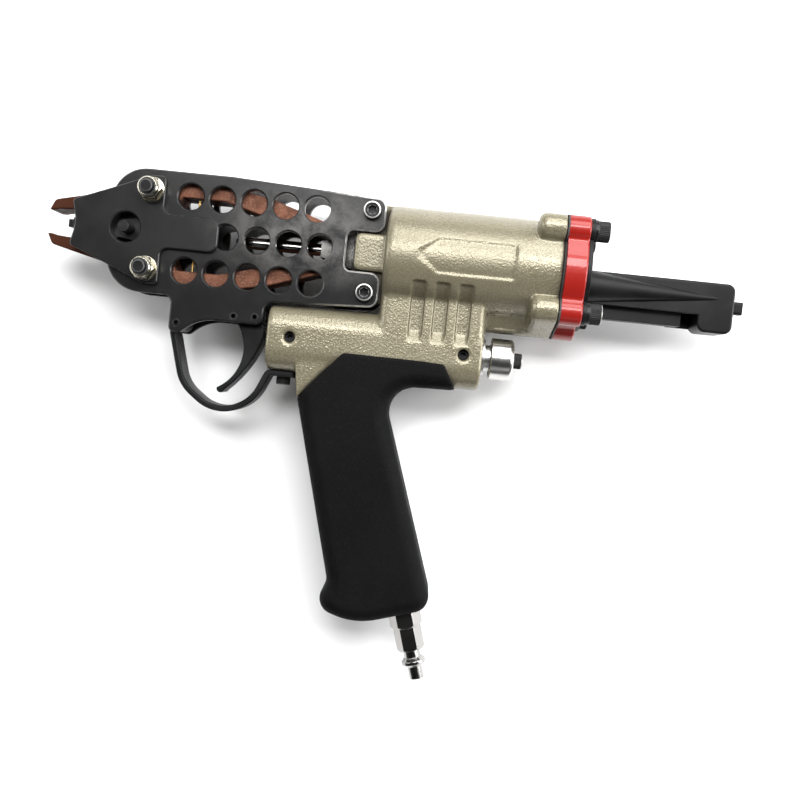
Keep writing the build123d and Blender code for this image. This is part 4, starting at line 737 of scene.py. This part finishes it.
wireSprings = {
    "pusher_spring": {
        "wire": 0.5, "turns": 12, "joint": "pusher_pull", "travel": 26.0, "still": "high"},
    "piston_return_spring": {
        "wire": 1.1, "turns": 6, "joint": "piston_stroke", "travel": 30.0, "still": "low"},
    "valve_spring": {
        "wire": 0.5, "turns": 7, "joint": "valve_slide", "travel": 1.9, "still": "high"},
}


def makeSpringWinder():
    tree, given, put = newGroup("springWinder", "GeometryNodeTree", [
        ("Start", "Vector", None),
        ("Length", "Float", 0.03),
        ("Mean Radius", "Float", 0.004),
        ("Wire Radius", "Float", 0.0005),
        ("Turns", "Float", 8.0),
        ("Finish", "Material", None),
    ], [("Spring", "Geometry")])
    coil = addNode(tree, "GeometryNodeCurveSpiral", {
        "Resolution": 36, "Rotations": given["Turns"], "Height": given["Length"],
        "Start Radius": given["Mean Radius"], "End Radius": given["Mean Radius"]})
    laid = addNode(tree, "GeometryNodeTransform", {
        "Geometry": coil.outputs[0], "Translation": given["Start"],
        "Rotation": (0.0, fullTurn / 4, 0.0)})
    wire = addNode(tree, "GeometryNodeCurvePrimitiveCircle", {
        "Resolution": 14, "Radius": given["Wire Radius"]})
    drawn = addNode(tree, "GeometryNodeCurveToMesh", {
        "Curve": laid.outputs[0], "Profile Curve": wire.outputs[0], "Fill Caps": True})
    smooth = addNode(tree, "GeometryNodeSetShadeSmooth", {"Geometry": drawn.outputs[0]})
    real = addNode(tree, "GeometryNodeRealizeInstances", {"Geometry": smooth.outputs[0]})
    painted = addNode(tree, "GeometryNodeSetMaterial", {
        "Geometry": real.outputs[0], "Material": given["Finish"]})
    tree.links.new(painted.outputs[0], put["Spring"])
    return tree


springWinder = makeSpringWinder()


def makeWireSpring(nodeName):
    spring = wireSprings[nodeName]
    low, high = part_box(nodeName)
    wire = spring["wire"] * millimetre
    length = high.x - low.x
    start = Vector((low.x + wire, (low.y + high.y) / 2, (low.z + high.z) / 2))
    piece = growPiece(nodeName, springWinder, bpy.data.meshes.new(nodeName + "Start"), {
        "Start": start, "Length": length - 2 * wire, "Mean Radius": (high.y - low.y) / 2 - wire,
        "Wire Radius": wire, "Turns": float(spring["turns"]), "Finish": finishes["spring_steel"]})
    finishPiece(piece, nodeName, "housing")
    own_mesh(piece)


for nodeName in wireSprings:
    makeWireSpring(nodeName)
print("springs wound:", len(wireSprings))


# Rubber grip sleeve

gripSleeve = {"voxel": 0.9 * millimetre, "smoothing": 6}


def makeGripSleeve():
    piece = evenCopy("grip_sleeve", "gripSleeve", gripSleeve["voxel"])
    smooth = piece.modifiers.new("soft edges", "SMOOTH")
    smooth.iterations = gripSleeve["smoothing"]
    settle(piece)
    finishPiece(piece, "grip_sleeve", "housing")


makeGripSleeve()
print("grip sleeve made")


# Casting skin: the cast body with soft blends where its forms meet

castingSkin = {
    "voxel": 0.6 * millimetre, "smoothing": 24, "triangles": 180000,
    "crispSteps": 12, "crispFade": 3.0 * millimetre,
    "crisp": [
        {"low": (0.008, 0.079), "high": (0.061, 0.101), "share": 0.36},
        {"low": (0.007, 0.046), "high": (0.043, 0.079), "share": 0.34},
    ],
}


def blendShare(spot):
    # how much of the smoothing a place gets: little at the recess and the flutes
    share = 1.0
    for zone in castingSkin["crisp"]:
        away = [max(low - at, at - high, 0.0)
                for at, low, high in zip(spot, zone["low"], zone["high"])]
        outside = min(1.0, math.hypot(*away) / castingSkin["crispFade"])
        share = min(share, zone["share"] + (1 - zone["share"]) * outside)
    return share


def makeCastingSkin():
    piece = settle(evenCopy("body_casting", "castingSkin", castingSkin["voxel"]))
    steps = castingSkin["crispSteps"]
    levels = {}
    for vertex in piece.data.vertices:
        levels.setdefault(round(blendShare(vertex.co) * steps), []).append(vertex.index)
    shares = piece.vertex_groups.new(name="blendShare")
    for level, members in levels.items():
        shares.add(members, level / steps, "REPLACE")
    smooth = piece.modifiers.new("cast blends", "SMOOTH")
    smooth.iterations = castingSkin["smoothing"]
    smooth.vertex_group = shares.name
    count = sum(len(face.vertices) - 2 for face in piece.data.polygons)
    lighter = piece.modifiers.new("fewer faces", "DECIMATE")
    lighter.ratio = min(1.0, castingSkin["triangles"] / count)
    settle(piece)
    piece.vertex_groups.clear()
    finishPiece(piece, "body_casting", "housing")
    print("casting skin faces:", count, "to", len(piece.data.polygons))


makeCastingSkin()


# Camera, floor and light

view = {
    "eye": (0.02031, 0.0332, 0.50736),
    "target": (0.009225, 0.019518, 0.028),
    "turn": 5.925,
    "lens": 43.2, "sensor": 36.0, "nearest": 0.01,
}
paleFloor = {"half": 4.0, "colour": (0.90, 0.90, 0.90), "rough": 0.9}
lampAim = (0.0, 0.03, 0.02)
lamps = {
    "key": {"at": (0.32, 0.85, 0.75), "size": (1.2, 0.5), "power": 14.5},
    "left": {"at": (-0.95, 0.25, 0.60), "size": (0.5, 0.8), "power": 5.5},
    "right": {"at": (0.98, 0.15, 0.52), "size": (0.5, 0.8), "power": 12.5},
    "low": {"at": (0.10, -0.95, 0.70), "size": (1.2, 0.4), "power": 0.8},
    "overhead": {"at": (0.02, 0.48, 1.08), "size": (0.9, 0.3), "power": 14.0},
}
sky = {
    "horizon": 0.7, "zenith": 0.04, "fadeFrom": 0.30, "fadeTo": 0.72,
    "frontShare": 0.08, "sideReach": 0.6, "strength": 1.0,
}


def aimAt(thing, place, target, up):
    back = (Vector(place) - Vector(target)).normalized()
    right = Vector(up).cross(back).normalized()
    upright = back.cross(right)
    turn = Matrix((right, upright, back)).transposed().to_4x4()
    thing.matrix_world = Matrix.Translation(Vector(place)) @ turn


def makeCamera():
    cameraData = bpy.data.cameras.new("photoCamera")
    cameraData.lens = view["lens"]
    cameraData.sensor_width = view["sensor"]
    cameraData.clip_start = view["nearest"]
    camera = addObject("photoCamera", cameraData)
    turn = math.radians(view["turn"])
    aimAt(camera, view["eye"], view["target"], (-math.sin(turn), math.cos(turn), 0.0))
    bpy.context.scene.camera = camera


def makeFloor():
    half = paleFloor["half"]
    corners = [(-half, -half, 0), (half, -half, 0), (half, half, 0), (-half, half, 0)]
    floorMesh = bpy.data.meshes.new("paleFloor")
    floorMesh.from_pydata(corners, [], [(0, 1, 2, 3)])
    floor = addObject("paleFloor", floorMesh)
    paint = bpy.data.materials.new("palePaper")
    paint.use_nodes = True
    shader = paint.node_tree.nodes["Principled BSDF"]
    shader.inputs["Base Color"].default_value = (*paleFloor["colour"], 1)
    shader.inputs["Roughness"].default_value = paleFloor["rough"]
    floorMesh.materials.append(paint)


def makeLamps():
    for name, lamp in lamps.items():
        lampData = bpy.data.lights.new(name + "Light", "AREA")
        lampData.shape = "RECTANGLE"
        lampData.size, lampData.size_y = lamp["size"]
        lampData.energy = lamp["power"]
        aimAt(addObject(name + "Light", lampData), lamp["at"], lampAim, (0, 0, 1))


def makeSky():
    world = bpy.data.worlds.new("studio")
    world.use_nodes = True
    tree = world.node_tree
    background = tree.nodes["Background"]
    way = addNode(tree, "ShaderNodeTexCoord")
    parts = addNode(tree, "ShaderNodeSeparateXYZ", {0: way.outputs["Generated"]})
    glow = remap(tree, parts.outputs["Z"], sky["fadeFrom"], sky["fadeTo"],
                 toLow=sky["horizon"], toHigh=sky["zenith"])
    upper = remap(tree, parts.outputs["Y"], -sky["sideReach"], sky["sideReach"],
                  toLow=sky["frontShare"], toHigh=1.0)
    tree.links.new(mathNode(tree, "MULTIPLY", glow, upper), background.inputs["Color"])
    background.inputs["Strength"].default_value = sky["strength"]
    bpy.context.scene.world = world


makeCamera()
makeFloor()
makeLamps()
makeSky()
bpy.context.scene.view_settings.view_transform = "Standard"
print("stage set")
